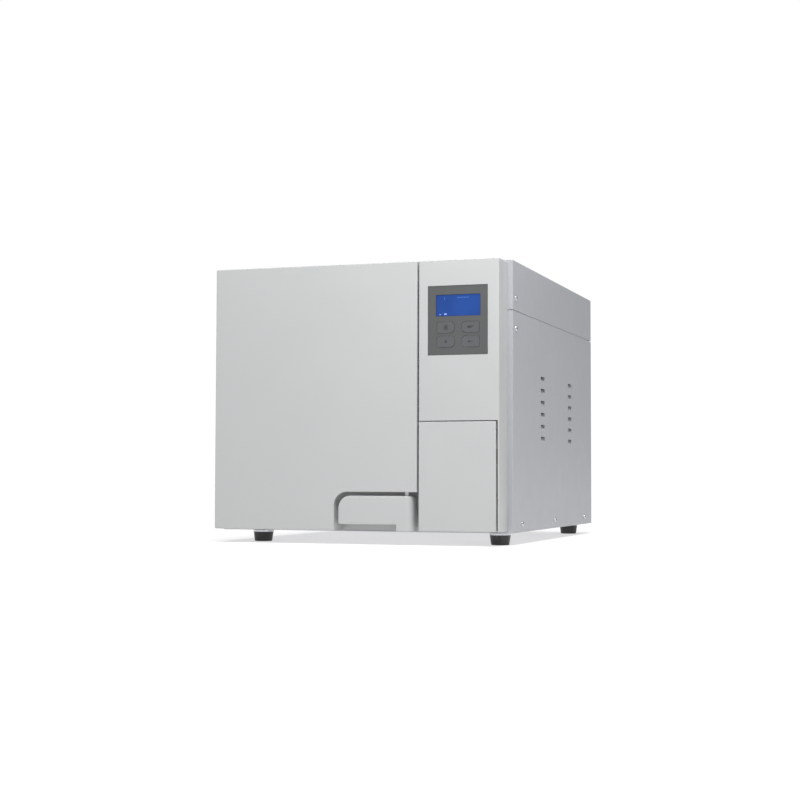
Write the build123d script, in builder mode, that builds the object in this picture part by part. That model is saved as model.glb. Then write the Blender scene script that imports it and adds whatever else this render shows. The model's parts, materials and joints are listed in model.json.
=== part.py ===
from build123d import *
import os
from math import cos, radians, sin, sqrt

# Benchtop steam autoclave, 18 litre class, front-loading, standing on four rubber feet.
# Millimetres. X runs to the right, Y to the back, Z up; the origin lies on the bench under
# the middle of the footprint.

# --- driving dimensions ------------------------------------------------------------------
CASE_WIDTH = 445.0
OVERALL_DEPTH = 580.0
CASE_HEIGHT = 386.0
FOOT_HEIGHT = 17.0
FRONT_THICKNESS = 47.0      # depth of the door and of the control fascia
SHEET = 1.2                 # steel sheet of the case
SEAM_HEIGHT = 314.0         # side seam above the case bottom
SIDE_INSET = 7.3            # door and fascia are narrower than the case, each side
TOP_INSET = 3.5
BOTTOM_INSET = 2.5
CHAMBER_RADIUS = 123.5
FLANGE_RADIUS = 131.0
CHAMBER_X = -60.0
CHAMBER_Z = 205.0
DOOR_RIGHT = 96.0
FASCIA_LEFT = 98.5
FLAP_HEIGHT = 156.0         # service door's top seam above the case bottom

# --- levels and planes -------------------------------------------------------------------
SIDE = CASE_WIDTH / 2
FRONT = -OVERALL_DEPTH / 2
CASE_FRONT = FRONT + FRONT_THICKNESS
BACK = OVERALL_DEPTH / 2
BOTTOM = FOOT_HEIGHT
TOP = FOOT_HEIGHT + CASE_HEIGHT
SEAM = BOTTOM + SEAM_HEIGHT
SEAM_GAP = 1.6
FRONT_LEFT = -SIDE + SIDE_INSET
FRONT_RIGHT = SIDE - SIDE_INSET
FRONT_LOW = BOTTOM + BOTTOM_INSET
FRONT_HIGH = TOP - TOP_INSET
FRAME_FACE = CASE_FRONT + SHEET         # front face of the steel front frame
FRAME_BACK = FRAME_FACE + 2.0
FRAME_CUT = (FRAME_FACE - 1, FRAME_BACK + 1)   # through the front frame
REAR_FACE = BACK - 18.0                 # inner face of the recessed rear panel
REAR_CUT = (REAR_FACE - 1, REAR_FACE + 3)      # through the rear panel
PANEL_TOP = SEAM - SEAM_GAP / 2

# --- door, hinge and handle --------------------------------------------------------------
HINGE_X = -202.2
HINGE_Y = -264.0
HINGE_PIN_RADIUS = 5.0
KNUCKLE_RADIUS = 9.5
LUG_LOW = (120.0, 150.0)
LUG_HIGH = (260.0, 290.0)
DOOR_BACK = CASE_FRONT - 2.0
NOTCH_LEFT = -28.0
NOTCH_TOP = BOTTOM + 57.5
NOTCH_BACK = -257.0
HANDLE_LEFT = -22.0
HANDLE_RIGHT = 89.0
HANDLE_TOP = BOTTOM + 52.0
FINGER_TOP = BOTTOM + 11.6
HANDLE_LEG = 66.0
PIVOT_X = 79.0
PIVOT_Y = -280.0
SHAFT_RADIUS = 4.0
HOOK_LOW = 85.0
HOOK_HIGH = 92.0
EYE_Y = -230.0
BOLT_RADIUS = 3.5

# --- keypad ------------------------------------------------------------------------------
KEYPAD_X = (112.0, 199.2)
KEYPAD_Z = (BOTTOM + 248.3, BOTTOM + 345.8)
LCD_X = (123.8, 188.5)
LCD_Z = (BOTTOM + 302.7, BOTTOM + 333.0)
KEY_WIDTH = 26.0
KEY_HEIGHT = 15.5
KEY_COLUMNS = (138.5, 173.8)
KEY_ROWS = (BOTTOM + 287.0, BOTTOM + 267.0)

# --- service door, bay, tank lid, fan ----------------------------------------------------
FLAP_TOP = BOTTOM + FLAP_HEIGHT
FLAP_RIGHT = 211.0
FLAP_PIVOT = (205.5, -284.5)
BAY_X = (104.0, 203.0)
BAY_Z = (26.0, 162.0)
BAY_BACK = -205.0
BAY_CUT = (BAY_BACK - 3, BAY_BACK + 1)       # through the back of the tray
KNOB_X = (126.0, 180.0)
KNOB_Z = 62.0
SWITCH_AT = (182.0, 128.0)
FILTER_AT = (133.0, 126.0)
FILL_AT = (152.0, 62.0)
FILL_SIZE = 104.0
LID_PIVOT = (FILL_AT[1] + 59.0, TOP + 4.6)
FAN_AT = (-120.0, 262.0)
FAN_FACE = REAR_FACE - 0.5
VALVE_AT = (0.0, 330.0)
INLET_AT = (150.0, 62.0)
BARBS_X = (30.0, 66.0)
BARB_Z = 62.0
PORTS = ((0.0, CHAMBER_Z), (-110.0, CHAMBER_Z), (0.0, 262.0))
PORT_END = 172.0

FOOT_PLACES = ((-164.0, -228.0), (200.0, -228.0), (-164.0, 245.0), (192.0, 245.0))
LOW_SCREWS = (-191.0, 16.0, 231.0)
CORNER_SCREW_Y = -226.0
CORNER_SCREWS_Z = (BOTTOM + 289.0, BOTTOM + 332.0)
TOP_SCREWS_X = (-180.0, 0.0, 180.0)
TOP_SCREW_Y = 262.0
SCREW_LOW_Z = BOTTOM + 12.0
FOOT_LOW_RADIUS = 12.9
FOOT_HIGH_RADIUS = 14.8
FOOT_BOLT_RADIUS = 2.5
FRONT_RETURN = SIDE - 17.0              # inner edge of the folds round the front
REAR_RETURN = SIDE - 10.0               # inner edge of the folds round the back
SCREW_HOLE = 2.15
SIDE_CUT = (SIDE - 7.5, SIDE + 1)        # through the side sheets
SCREW_SHANK = 2.0
CUT = 1.0                               # how far a cutting shape runs past the face it cuts
FAR = 999.0                             # beyond every edge of the machine

os.makedirs("parts", exist_ok=True)


def block(x, y, z, mode=Mode.ADD):
    """A box given by its limits along each axis."""
    with Locations(((x[0] + x[1]) / 2, (y[0] + y[1]) / 2, (z[0] + z[1]) / 2)):
        Box(x[1] - x[0], y[1] - y[0], z[1] - z[0], mode=mode)


def bar(axis, at, span, radius, mode=Mode.ADD):
    """A round bar along X, Y or Z; at holds the other two coordinates in X, Y, Z order."""
    middle = (span[0] + span[1]) / 2
    centre = {"X": (middle, *at), "Y": (at[0], middle, at[1]), "Z": (*at, middle)}[axis]
    turn = {"X": (0, 90, 0), "Y": (90, 0, 0), "Z": (0, 0, 0)}[axis]
    with Locations(centre):
        Cylinder(radius, abs(span[1] - span[0]), rotation=turn, mode=mode)


def edges_along(part, axis, low, high):
    """Edges parallel to an axis whose centres lie inside the box from low to high."""
    found = []
    for edge in part.edges().filter_by(axis):
        c = edge.center()
        if all(a <= v <= b for a, v, b in zip(low, (c.X, c.Y, c.Z), high)):
            found.append(edge)
    return found


def save(builder, label):
    """Labels a finished piece and writes it as one STEP file."""
    builder.part.label = label
    export_step(builder.part, f"parts/{label}.step")


def facing_y(x, y, z):
    """A sketch plane at (x, y, z) that looks along +Y, with sketch x = X and sketch y = -Z."""
    return Plane(origin=(x, y, z), x_dir=(1, 0, 0), z_dir=(0, 1, 0))


# ==========================================================================================
# Case
# ==========================================================================================
PAN_SIDE = SIDE - SHEET - 0.1
PAN_REAR = REAR_FACE - 0.2
PAN_FRONT = FRAME_BACK + 0.2
with BuildPart() as base_pan:
    block((-PAN_SIDE, PAN_SIDE), (PAN_FRONT, PAN_REAR), (BOTTOM, BOTTOM + 20))
    block((-PAN_SIDE + SHEET, PAN_SIDE - SHEET), (PAN_FRONT + SHEET, PAN_REAR - SHEET),
          (BOTTOM + SHEET, BOTTOM + 21), mode=Mode.SUBTRACT)
    block((BAY_X[0] - 1, BAY_X[1] + 1), (PAN_FRONT - 1, PAN_FRONT + 2), (BAY_Z[0] - 2, BOTTOM + 21),
          mode=Mode.SUBTRACT)
    for foot_x, foot_y in FOOT_PLACES:
        bar("Z", (foot_x, foot_y), (BOTTOM - 1, BOTTOM + 3), 2.7, mode=Mode.SUBTRACT)
    with BuildSketch(Plane.XY.offset(BOTTOM - 1)):
        with Locations((-60, 205)):
            with GridLocations(14, 1, 12, 1):
                SlotOverall(60, 5, rotation=90)
        with Locations((150, -150)):
            with GridLocations(14, 1, 5, 1):
                SlotOverall(60, 5, rotation=90)
    extrude(amount=4, mode=Mode.SUBTRACT)
    for side in (-1, 1):
        for screw_y in LOW_SCREWS:
            bar("X", (screw_y, SCREW_LOW_Z), (side * SIDE_CUT[0], side * SIDE_CUT[1]), SCREW_HOLE,
                mode=Mode.SUBTRACT)
save(base_pan, "base_pan")

with BuildPart() as front_frame:
    block((-PAN_SIDE, PAN_SIDE), (FRAME_FACE, FRAME_FACE + 25), (BOTTOM + 1.4, TOP - 1.4))
    block((-PAN_SIDE + SHEET, PAN_SIDE - SHEET), (FRAME_BACK, FRAME_FACE + 26),
          (BOTTOM, TOP - 2.6), mode=Mode.SUBTRACT)
    block((-SIDE, SIDE), (FRAME_BACK, FRAME_FACE + 26), (BOTTOM, BOTTOM + 20.4), mode=Mode.SUBTRACT)
    bar("Y", (CHAMBER_X, CHAMBER_Z), FRAME_CUT, FLANGE_RADIUS + 0.4,
        mode=Mode.SUBTRACT)
    block((26, 90), FRAME_CUT, (HOOK_LOW - 3, HOOK_HIGH + 3),
          mode=Mode.SUBTRACT)
    block(BAY_X, FRAME_CUT, BAY_Z, mode=Mode.SUBTRACT)
    block((140, 170), FRAME_CUT, (210, 230), mode=Mode.SUBTRACT)
    for side in (-1, 1):
        for screw_z in CORNER_SCREWS_Z:
            bar("X", (CORNER_SCREW_Y, screw_z), (side * SIDE_CUT[0], side * SIDE_CUT[1]), SCREW_HOLE,
                mode=Mode.SUBTRACT)
save(front_frame, "front_frame")

LOUVRE_COLUMNS = (-64.0, 122.0)
LOUVRE_LENGTH = 28.0
LOUVRE_RISE = 6.6
LOUVRE_LOW = BOTTOM + 133.0
LOUVRE_PITCH = 18.1
LOUVRE_COUNT = 6
LOUVRE_DEPTH = 5.0


def side_panel(side):
    """One side of the case: sheet, front and rear returns, and two columns of louvres."""
    outer = side * SIDE
    skin = side * (SIDE - SHEET)
    with BuildPart() as panel:
        block(sorted((skin, outer)), (CASE_FRONT, BACK), (BOTTOM, PANEL_TOP))
        block(sorted((side * FRONT_RETURN, outer)), (CASE_FRONT, FRAME_FACE), (BOTTOM, PANEL_TOP))
        block(sorted((side * REAR_RETURN, outer)), (BACK - SHEET, BACK), (BOTTOM, PANEL_TOP))
        block(sorted((side * (SIDE - 2 * SHEET), skin)), (CASE_FRONT + 29, REAR_FACE - 4),
              (PANEL_TOP - 8, PANEL_TOP + 6))
        bends = edges_along(panel, Axis.Z, (outer - 0.01, -FAR, 0), (outer + 0.01, FAR, FAR))
        fillet(bends, 1.1)
        for column in LOUVRE_COLUMNS:
            for step in range(LOUVRE_COUNT):
                low = LOUVRE_LOW + step * LOUVRE_PITCH
                block(sorted((side * (SIDE + 1), side * (SIDE - 2))),
                      (column - LOUVRE_LENGTH / 2, column + LOUVRE_LENGTH / 2),
                      (low, low + LOUVRE_RISE), mode=Mode.SUBTRACT)
                inner = side * (SIDE - LOUVRE_DEPTH)
                with BuildSketch(Plane.XZ.offset(-column + LOUVRE_LENGTH / 2 - 1)) as blade:
                    with BuildLine():
                        Polyline((outer, low), (inner, low + LOUVRE_RISE),
                                 (inner - side * 0.9, low + LOUVRE_RISE),
                                 (skin - side * 0.3, low - 0.6), (skin, low - 0.6),
                                 (outer, low), close=True)
                    make_face()
                extrude(amount=-(LOUVRE_LENGTH - 2))
                for end in (-1, 1):
                    cheek_y = -column + end * (LOUVRE_LENGTH / 2 - 0.5)
                    with BuildSketch(Plane.XZ.offset(cheek_y)):
                        with BuildLine():
                            Polyline((outer, low - 0.3), (outer, low + LOUVRE_RISE),
                                     (inner, low + LOUVRE_RISE), (skin, low - 0.3),
                                     (outer, low - 0.3), close=True)
                        make_face()
                    extrude(amount=0.5, both=True)
        for screw_y in LOW_SCREWS:
            bar("X", (screw_y, SCREW_LOW_Z), (side * SIDE_CUT[0], side * SIDE_CUT[1]), SCREW_HOLE,
                mode=Mode.SUBTRACT)
        bar("X", (CORNER_SCREW_Y, CORNER_SCREWS_Z[0]), (side * SIDE_CUT[0], side * SIDE_CUT[1]), SCREW_HOLE,
            mode=Mode.SUBTRACT)
    return panel


save(side_panel(-1), "left_side_panel")
save(side_panel(1), "right_side_panel")

SKIRT = SEAM + SEAM_GAP / 2
with BuildPart() as top_cover:
    block((-SIDE, SIDE), (CASE_FRONT, BACK), (SKIRT, TOP))
    fillet(edges_along(top_cover, Axis.Y, (-FAR, -FAR, TOP - 1), (FAR, FAR, TOP + 1)), 2.5)
    fillet(edges_along(top_cover, Axis.X, (-FAR, -FAR, TOP - 1), (FAR, FAR, TOP + 1)), 1.5)
    block((-SIDE + SHEET, SIDE - SHEET), (FRAME_FACE, BACK - SHEET), (SKIRT - 1, TOP - SHEET),
          mode=Mode.SUBTRACT)
    block((-FRONT_RETURN, FRONT_RETURN), (CASE_FRONT - CUT, FRAME_FACE + CUT), (SKIRT - 1, TOP - 15),
          mode=Mode.SUBTRACT)
    block((-REAR_RETURN, REAR_RETURN), (BACK - 2, BACK + CUT), (SKIRT - 1, TOP - 10), mode=Mode.SUBTRACT)
    with BuildSketch(Plane.XY.offset(TOP - 2)):
        with Locations(FILL_AT):
            RectangleRounded(FILL_SIZE, FILL_SIZE, 12)
    extrude(amount=4, mode=Mode.SUBTRACT)
    for side in (-1, 1):
        bar("X", (CORNER_SCREW_Y, CORNER_SCREWS_Z[1]), (side * SIDE_CUT[0], side * SIDE_CUT[1]), SCREW_HOLE,
            mode=Mode.SUBTRACT)
    for screw_x in TOP_SCREWS_X:
        bar("Z", (screw_x, TOP_SCREW_Y), (TOP - 2, TOP + 1), SCREW_HOLE, mode=Mode.SUBTRACT)
save(top_cover, "top_cover")

GRILLE_RINGS = ((50.0, 56.5), (38.0, 45.0), (26.0, 33.0), (14.0, 21.0))
with BuildPart() as rear_panel:
    block((-PAN_SIDE + 0.1, PAN_SIDE - 0.1), (REAR_FACE, REAR_FACE + SHEET), (BOTTOM + 1.4, TOP - 1.4))
    block((-PAN_SIDE + 0.1, PAN_SIDE - 0.1), (REAR_FACE - 20, REAR_FACE + SHEET),
          (TOP - 2.6, TOP - 1.4))
    with BuildSketch(facing_y(FAN_AT[0], REAR_FACE - 1, FAN_AT[1])):
        for low, high in GRILLE_RINGS:
            Circle(high)
            Circle(low, mode=Mode.SUBTRACT)
        with PolarLocations(0, 6, start_angle=15):
            with Locations((35, 0)):
                Rectangle(80, 5, mode=Mode.SUBTRACT)
    extrude(amount=4, mode=Mode.SUBTRACT)
    with BuildSketch(facing_y(FAN_AT[0], REAR_FACE - 1, FAN_AT[1])):
        with GridLocations(105, 105, 2, 2):
            Circle(2.2)
    extrude(amount=4, mode=Mode.SUBTRACT)
    block((INLET_AT[0] - 24.2, INLET_AT[0] + 24.2), REAR_CUT,
          (INLET_AT[1] - 14.2, INLET_AT[1] + 14.2), mode=Mode.SUBTRACT)
    for barb_x in BARBS_X:
        bar("Y", (barb_x, BARB_Z), REAR_CUT, 7.1, mode=Mode.SUBTRACT)
    bar("Y", VALVE_AT, REAR_CUT, 9.1, mode=Mode.SUBTRACT)
    with BuildSketch(facing_y(90, REAR_FACE - 1, 300)):
        with GridLocations(1, 14, 1, 6):
            SlotOverall(80, 5)
    extrude(amount=4, mode=Mode.SUBTRACT)
    for screw_x in TOP_SCREWS_X:
        bar("Z", (screw_x, TOP_SCREW_Y), (TOP - 4, TOP), SCREW_HOLE, mode=Mode.SUBTRACT)
save(rear_panel, "rear_panel")

WASHER_LOW = BOTTOM - 3.0
with BuildPart() as feet:
    with Locations(*[(x, y, 0) for x, y in FOOT_PLACES]):
        with Locations((0, 0, WASHER_LOW / 2)):
            Cone(FOOT_LOW_RADIUS, FOOT_HIGH_RADIUS, WASHER_LOW)
    fillet(feet.edges().filter_by(GeomType.CIRCLE).group_by(Axis.Z)[0], 1.6)
    for foot_x, foot_y in FOOT_PLACES:
        bar("Z", (foot_x, foot_y), (-1, 7), 6.5, mode=Mode.SUBTRACT)
        bar("Z", (foot_x, foot_y), (6, WASHER_LOW + 1), 2.7, mode=Mode.SUBTRACT)
save(feet, "feet")

with BuildPart() as foot_bolts:
    for foot_x, foot_y in FOOT_PLACES:
        bar("Z", (foot_x, foot_y), (WASHER_LOW, BOTTOM), 15.2)
        bar("Z", (foot_x, foot_y), (WASHER_LOW - 1, BOTTOM + 1), 2.7, mode=Mode.SUBTRACT)
    for foot_x, foot_y in FOOT_PLACES:
        bar("Z", (foot_x, foot_y), (7.0, BOTTOM + 9), FOOT_BOLT_RADIUS)
        bar("Z", (foot_x, foot_y), (3.5, 7.0), 4.6)
        with BuildSketch(Plane.XY.offset(BOTTOM + SHEET)):
            with Locations((foot_x, foot_y)):
                RegularPolygon(4.6, 6)
                Circle(FOOT_BOLT_RADIUS, mode=Mode.SUBTRACT)
        extrude(amount=4)
save(foot_bolts, "foot_bolts")

HEAD_RADIUS = 3.6
HEAD_HEIGHT = 2.2
with BuildPart() as case_screws:
    for side in (-1, 1):
        places = [(y, SCREW_LOW_Z) for y in LOW_SCREWS]
        places += [(CORNER_SCREW_Y, z) for z in CORNER_SCREWS_Z]
        for screw_y, screw_z in places:
            bar("X", (screw_y, screw_z), (side * (SIDE - 8), side * SIDE), SCREW_SHANK)
            bar("X", (screw_y, screw_z), (side * SIDE, side * (SIDE + HEAD_HEIGHT)), HEAD_RADIUS)
        rims = [e for e in case_screws.edges().filter_by(GeomType.CIRCLE)
                if abs(e.center().X - side * (SIDE + HEAD_HEIGHT)) < 0.01]
        fillet(rims, 1.5)
    for screw_x in TOP_SCREWS_X:
        bar("Z", (screw_x, TOP_SCREW_Y), (TOP - 8, TOP), SCREW_SHANK)
        bar("Z", (screw_x, TOP_SCREW_Y), (TOP, TOP + HEAD_HEIGHT), HEAD_RADIUS)
    fillet(case_screws.edges().filter_by(GeomType.CIRCLE).group_by(Axis.Z)[-1], 1.5)
save(case_screws, "case_screws")

# ==========================================================================================
# Control fascia, keypad and display
# ==========================================================================================
with BuildPart() as control_fascia:
    block((FASCIA_LEFT, FRONT_RIGHT), (FRONT, CASE_FRONT), (FRONT_LOW, FRONT_HIGH))
    fillet(edges_along(control_fascia, Axis.Z, (-FAR, FRONT - 1, 0), (FAR, FRONT + 1, FAR)), 2.2)
    fillet(edges_along(control_fascia, Axis.X, (-FAR, FRONT - 1, 0), (FAR, FRONT + 1, FAR)), 1.8)
    block((FASCIA_LEFT + 2, FRONT_RIGHT - 2), (FRONT + 2.5, CASE_FRONT + 1),
          (FRONT_LOW + 2, FRONT_HIGH - 2), mode=Mode.SUBTRACT)
    block((FASCIA_LEFT, FRONT_RIGHT), (FRONT + 4, CASE_FRONT), (FLAP_TOP + 1, FLAP_TOP + 3))
    block((FASCIA_LEFT - 1, FRONT_RIGHT - 2), (FRONT - 1, FRONT + 4), (0, FLAP_TOP + 1),
          mode=Mode.SUBTRACT)
    block(KEYPAD_X, (FRONT - 1, FRONT + 3), KEYPAD_Z, mode=Mode.SUBTRACT)
    # The right end of the service door swings down through this corner of the floor.
    block((FLAP_PIVOT[0] - 7, FRONT_RIGHT - 2), (FRONT, FLAP_PIVOT[1] + 8),
          (FRONT_LOW - 1, FRONT_LOW + 3), mode=Mode.SUBTRACT)
    for low, high in ((45.5, 57.0), (135.0, 146.5)):
        block((FLAP_PIVOT[0] - 1.7, FRONT_RIGHT - 1.5), (FLAP_PIVOT[1] + 8.5, FLAP_PIVOT[1] + 13),
              (low, high))
        block((FLAP_PIVOT[0] - 1.7, FLAP_PIVOT[0] + 1.7), (FLAP_PIVOT[1], FLAP_PIVOT[1] + 13),
              (low, high))
        bar("Z", FLAP_PIVOT, (low, high), 2.3)
        bar("Z", FLAP_PIVOT, (low - 1, high + 1), 1.25, mode=Mode.SUBTRACT)
save(control_fascia, "control_fascia")

BEZEL_FACE = FRONT + 0.4
BEZEL_BACK = FRONT + 4.0


def key_outline(column, row, grow=0.0):
    """A key's outline: square outer end, rounded end towards the middle of the keypad."""
    inward = 1 if column < sum(KEY_COLUMNS) / 2 else -1
    outer = column - inward * (KEY_WIDTH / 2 + grow)
    inner = column + inward * (KEY_WIDTH / 2 + grow)
    high = row + KEY_HEIGHT / 2 + grow
    low = row - KEY_HEIGHT / 2 - grow
    shoulder = inner - inward * 5
    with BuildSketch(Plane.XZ, mode=Mode.PRIVATE) as outline:
        with BuildLine():
            Line((shoulder, high), (outer, high))
            Line((outer, high), (outer, low))
            Line((outer, low), (shoulder, low))
            ThreePointArc((shoulder, low), (inner, row), (shoulder, high))
        make_face()
        fillet(outline.vertices().group_by(Axis.X)[0 if inward > 0 else -1], 2.0)
    return outline.sketch


with BuildPart() as keypad_bezel:
    block((KEYPAD_X[0] + 0.2, KEYPAD_X[1] - 0.2), (BEZEL_FACE, BEZEL_BACK),
          (KEYPAD_Z[0] + 0.2, KEYPAD_Z[1] - 0.2))
    fillet(keypad_bezel.edges().filter_by(Axis.Y), 1.2)
    chamfer(keypad_bezel.faces().sort_by(Axis.Y)[0].edges(), 0.35)
    block((KEYPAD_X[0] - 3, KEYPAD_X[1] + 3), (FRONT + 2.5, BEZEL_BACK),
          (KEYPAD_Z[0] - 3, KEYPAD_Z[1] + 3))
    block(LCD_X, (FRONT - 1, BEZEL_BACK + 1), LCD_Z, mode=Mode.SUBTRACT)
    for key_x in KEY_COLUMNS:
        for key_z in KEY_ROWS:
            extrude(Pos(0, FRONT + 6, 0) * key_outline(key_x, key_z, 0.25), amount=7,
                    mode=Mode.SUBTRACT)
save(keypad_bezel, "keypad_bezel")

KEY_NAMES = (("key_select", "key_start"), ("key_down", "key_enter"))
for row_names, key_z in zip(KEY_NAMES, KEY_ROWS):
    for key_name, key_x in zip(row_names, KEY_COLUMNS):
        with BuildPart() as key:
            extrude(Pos(0, BEZEL_BACK + 0.15, 0) * key_outline(key_x, key_z),
                    amount=BEZEL_BACK + 0.15 - FRONT)
            fillet(key.faces().sort_by(Axis.Y)[0].edges(), 0.5)
            extrude(Pos(0, BEZEL_BACK + 1.2, 0) * key_outline(key_x, key_z, 0.9), amount=1.1)
        save(key, key_name)


BOARD_FACE = FRONT + 6.6
with BuildPart() as lcd_module:
    block((LCD_X[0] + 0.15, LCD_X[1] - 0.15), (FRONT + 0.9, BEZEL_BACK + 0.1),
          (LCD_Z[0] + 0.15, LCD_Z[1] - 0.15))
    chamfer(lcd_module.faces().sort_by(Axis.Y)[0].edges(), 0.3)
    block((LCD_X[0] - 5, LCD_X[1] + 5), (BEZEL_BACK + 0.1, BOARD_FACE), (LCD_Z[0] - 4, LCD_Z[1] + 6))
save(lcd_module, "lcd_module")

with BuildPart() as keypad_board:
    block((KEYPAD_X[0] - 1, KEYPAD_X[1] + 1), (BOARD_FACE, BOARD_FACE + 1.6),
          (KEYPAD_Z[0] - 1, KEYPAD_Z[1] + 1))
    for key_x in KEY_COLUMNS:
        for key_z in KEY_ROWS:
            bar("Y", (key_x, key_z), (BOARD_FACE + 1.5, BOARD_FACE + 4), 3.0)
    block((140, 170), (BOARD_FACE + 1.5, BOARD_FACE + 8), (KEYPAD_Z[0] + 40, KEYPAD_Z[0] + 50))
    block((120, 135), (BOARD_FACE + 1.5, BOARD_FACE + 3.5), (KEYPAD_Z[0] + 60, KEYPAD_Z[0] + 75))
save(keypad_board, "keypad_board")

# ==========================================================================================
# Service door and what is behind it
# ==========================================================================================
with BuildPart() as service_door:
    block((FASCIA_LEFT, FLAP_RIGHT), (FRONT, FRONT + 3), (FRONT_LOW + 0.5, FLAP_TOP))
    fillet(service_door.faces().sort_by(Axis.Y)[0].edges(), 1.8)
    for x, z in (((103, 105), (27, 166)), ((197, 199), (27, 166)),
                 ((103, 199), (27, 29)), ((103, 199), (164, 166))):
        block(x, (FRONT + 2.5, FRONT + 7), z)
    for low, high in ((30.0, 45.0), (57.5, 70.0), (122.0, 134.5), (147.0, 162.0)):
        bar("Z", FLAP_PIVOT, (low, high), 3.0)
    for low, high in ((31.0, 69.0), (123.0, 161.0)):
        bar("Z", FLAP_PIVOT, (low, high), 1.2)
save(service_door, "service_door")

with BuildPart() as service_tray:
    block((BAY_X[0] - 2.5, BAY_X[1] + 2), (FRAME_FACE - 2, FRAME_FACE), (BAY_Z[0] - 3, BAY_Z[1] + 4))
    block((BAY_X[0] + 0.3, BAY_X[1] - 0.3), (FRAME_FACE - 2, BAY_BACK), (BAY_Z[0] + 0.3, BAY_Z[1] - 0.3))
    fillet(edges_along(service_tray, Axis.X, (100, BAY_BACK - 1, 0), (215, BAY_BACK + 1, FAR)), 4)
    block((BAY_X[0] + 1.8, BAY_X[1] - 1.8), (FRAME_FACE - 3, BAY_BACK - 1.5),
          (BAY_Z[0] + 1.8, BAY_Z[1] - 1.8), mode=Mode.SUBTRACT)
    for knob_x in KNOB_X:
        bar("Y", (knob_x, KNOB_Z), BAY_CUT, 5.1, mode=Mode.SUBTRACT)
        bar("Y", (knob_x, KNOB_Z - 24), BAY_CUT, 4.1, mode=Mode.SUBTRACT)
    bar("Y", FILTER_AT, BAY_CUT, 6.1, mode=Mode.SUBTRACT)
    block((SWITCH_AT[0] - 7.7, SWITCH_AT[0] + 7.7), BAY_CUT,
          (SWITCH_AT[1] - 12.2, SWITCH_AT[1] + 12.2), mode=Mode.SUBTRACT)
save(service_tray, "service_tray")

with BuildPart() as drain_valves:
    for knob_x in KNOB_X:
        block((knob_x - 11, knob_x + 11), (BAY_BACK, BAY_BACK + 20), (KNOB_Z - 33, KNOB_Z + 11))
        bar("Y", (knob_x, KNOB_Z), (BAY_BACK - 8, BAY_BACK + 1), 5.0)
        bar("Y", (knob_x, KNOB_Z), (BAY_BACK - 26, BAY_BACK - 7), 2.5)
        bar("Y", (knob_x, KNOB_Z - 24), (BAY_BACK - 22, BAY_BACK + 1), 4.0)
        bar("Y", (knob_x, KNOB_Z - 24), (BAY_BACK - 12, BAY_BACK - 9), 6.5)
        for ridge in (15, 18, 21):
            with Locations((knob_x, BAY_BACK - ridge, KNOB_Z - 24)):
                Cone(5.0, 4.0, 2.4, rotation=(90, 0, 0))
        bar("Y", (knob_x, KNOB_Z - 24), (BAY_BACK - 23, BAY_BACK + 10), 2.4, mode=Mode.SUBTRACT)
save(drain_valves, "drain_valves")

for knob_name, knob_x in zip(("fresh_drain_knob", "waste_drain_knob"), KNOB_X):
    with BuildPart() as knob:
        bar("Y", (knob_x, KNOB_Z), (BAY_BACK - 26.5, BAY_BACK - 9), 8.0)
        block((knob_x - 17, knob_x + 17), (BAY_BACK - 26.5, BAY_BACK - 15), (KNOB_Z - 4, KNOB_Z + 4))
        fillet(edges_along(knob, Axis.Y, (-FAR, -FAR, 0), (FAR, FAR, FAR)), 2.5)
        fillet(knob.faces().sort_by(Axis.Y)[0].edges(), 1.0)
        bar("Y", (knob_x, KNOB_Z), (BAY_BACK - 26, BAY_BACK - 8), 2.55, mode=Mode.SUBTRACT)
    save(knob, knob_name)

with BuildPart() as air_filter:
    bar("Y", FILTER_AT, (BAY_BACK - 42, BAY_BACK - 18), 23.0)
    bar("Y", FILTER_AT, (BAY_BACK - 33, BAY_BACK - 27), 25.0)
    fillet(air_filter.edges().filter_by(GeomType.CIRCLE), 0.8)
    bar("Y", FILTER_AT, (BAY_BACK - 19, BAY_BACK - 8), 9.0)
    bar("Y", FILTER_AT, (BAY_BACK - 9, BAY_BACK + 8), 6.0)
    bar("Y", FILTER_AT, (BAY_BACK - 50, BAY_BACK - 41), 5.0)
save(air_filter, "air_filter")

ROCKER_Y = BAY_BACK - 3.0
with BuildPart() as switch_housing:
    block((SWITCH_AT[0] - 7.5, SWITCH_AT[0] + 7.5), (BAY_BACK - 3, BAY_BACK + 18),
          (SWITCH_AT[1] - 12, SWITCH_AT[1] + 12))
    block((SWITCH_AT[0] - 9.5, SWITCH_AT[0] + 9.5), (BAY_BACK - 4, BAY_BACK - 1.5),
          (SWITCH_AT[1] - 14, SWITCH_AT[1] + 14))
    fillet(switch_housing.faces().sort_by(Axis.Y)[0].edges(), 0.8)
    block((SWITCH_AT[0] - 6, SWITCH_AT[0] + 6), (BAY_BACK - 6, BAY_BACK + 9),
          (SWITCH_AT[1] - 10.6, SWITCH_AT[1] + 10.6), mode=Mode.SUBTRACT)
    bar("X", (ROCKER_Y, SWITCH_AT[1]), (SWITCH_AT[0] - 7, SWITCH_AT[0] + 7), 1.25, mode=Mode.SUBTRACT)
save(switch_housing, "switch_housing")

with BuildPart() as power_rocker:
    with BuildSketch(Plane.YZ.offset(SWITCH_AT[0] - 5.8)):
        with Locations((ROCKER_Y, SWITCH_AT[1])):
            Circle(10.3)
            with Locations(Rotation(0, 0, 10)):
                with Locations((-11.5, 9)):
                    Rectangle(14, 18, rotation=8, mode=Mode.SUBTRACT)
                with Locations((-11.5, -9)):
                    Rectangle(14, 18, rotation=-8, mode=Mode.SUBTRACT)
            with Locations((9, 0)):
                Rectangle(14, 30, mode=Mode.SUBTRACT)
    extrude(amount=11.6)
    bar("X", (ROCKER_Y, SWITCH_AT[1]), (SWITCH_AT[0] - 6.8, SWITCH_AT[0] + 6.8), 1.2)
save(power_rocker, "power_rocker")

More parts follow.
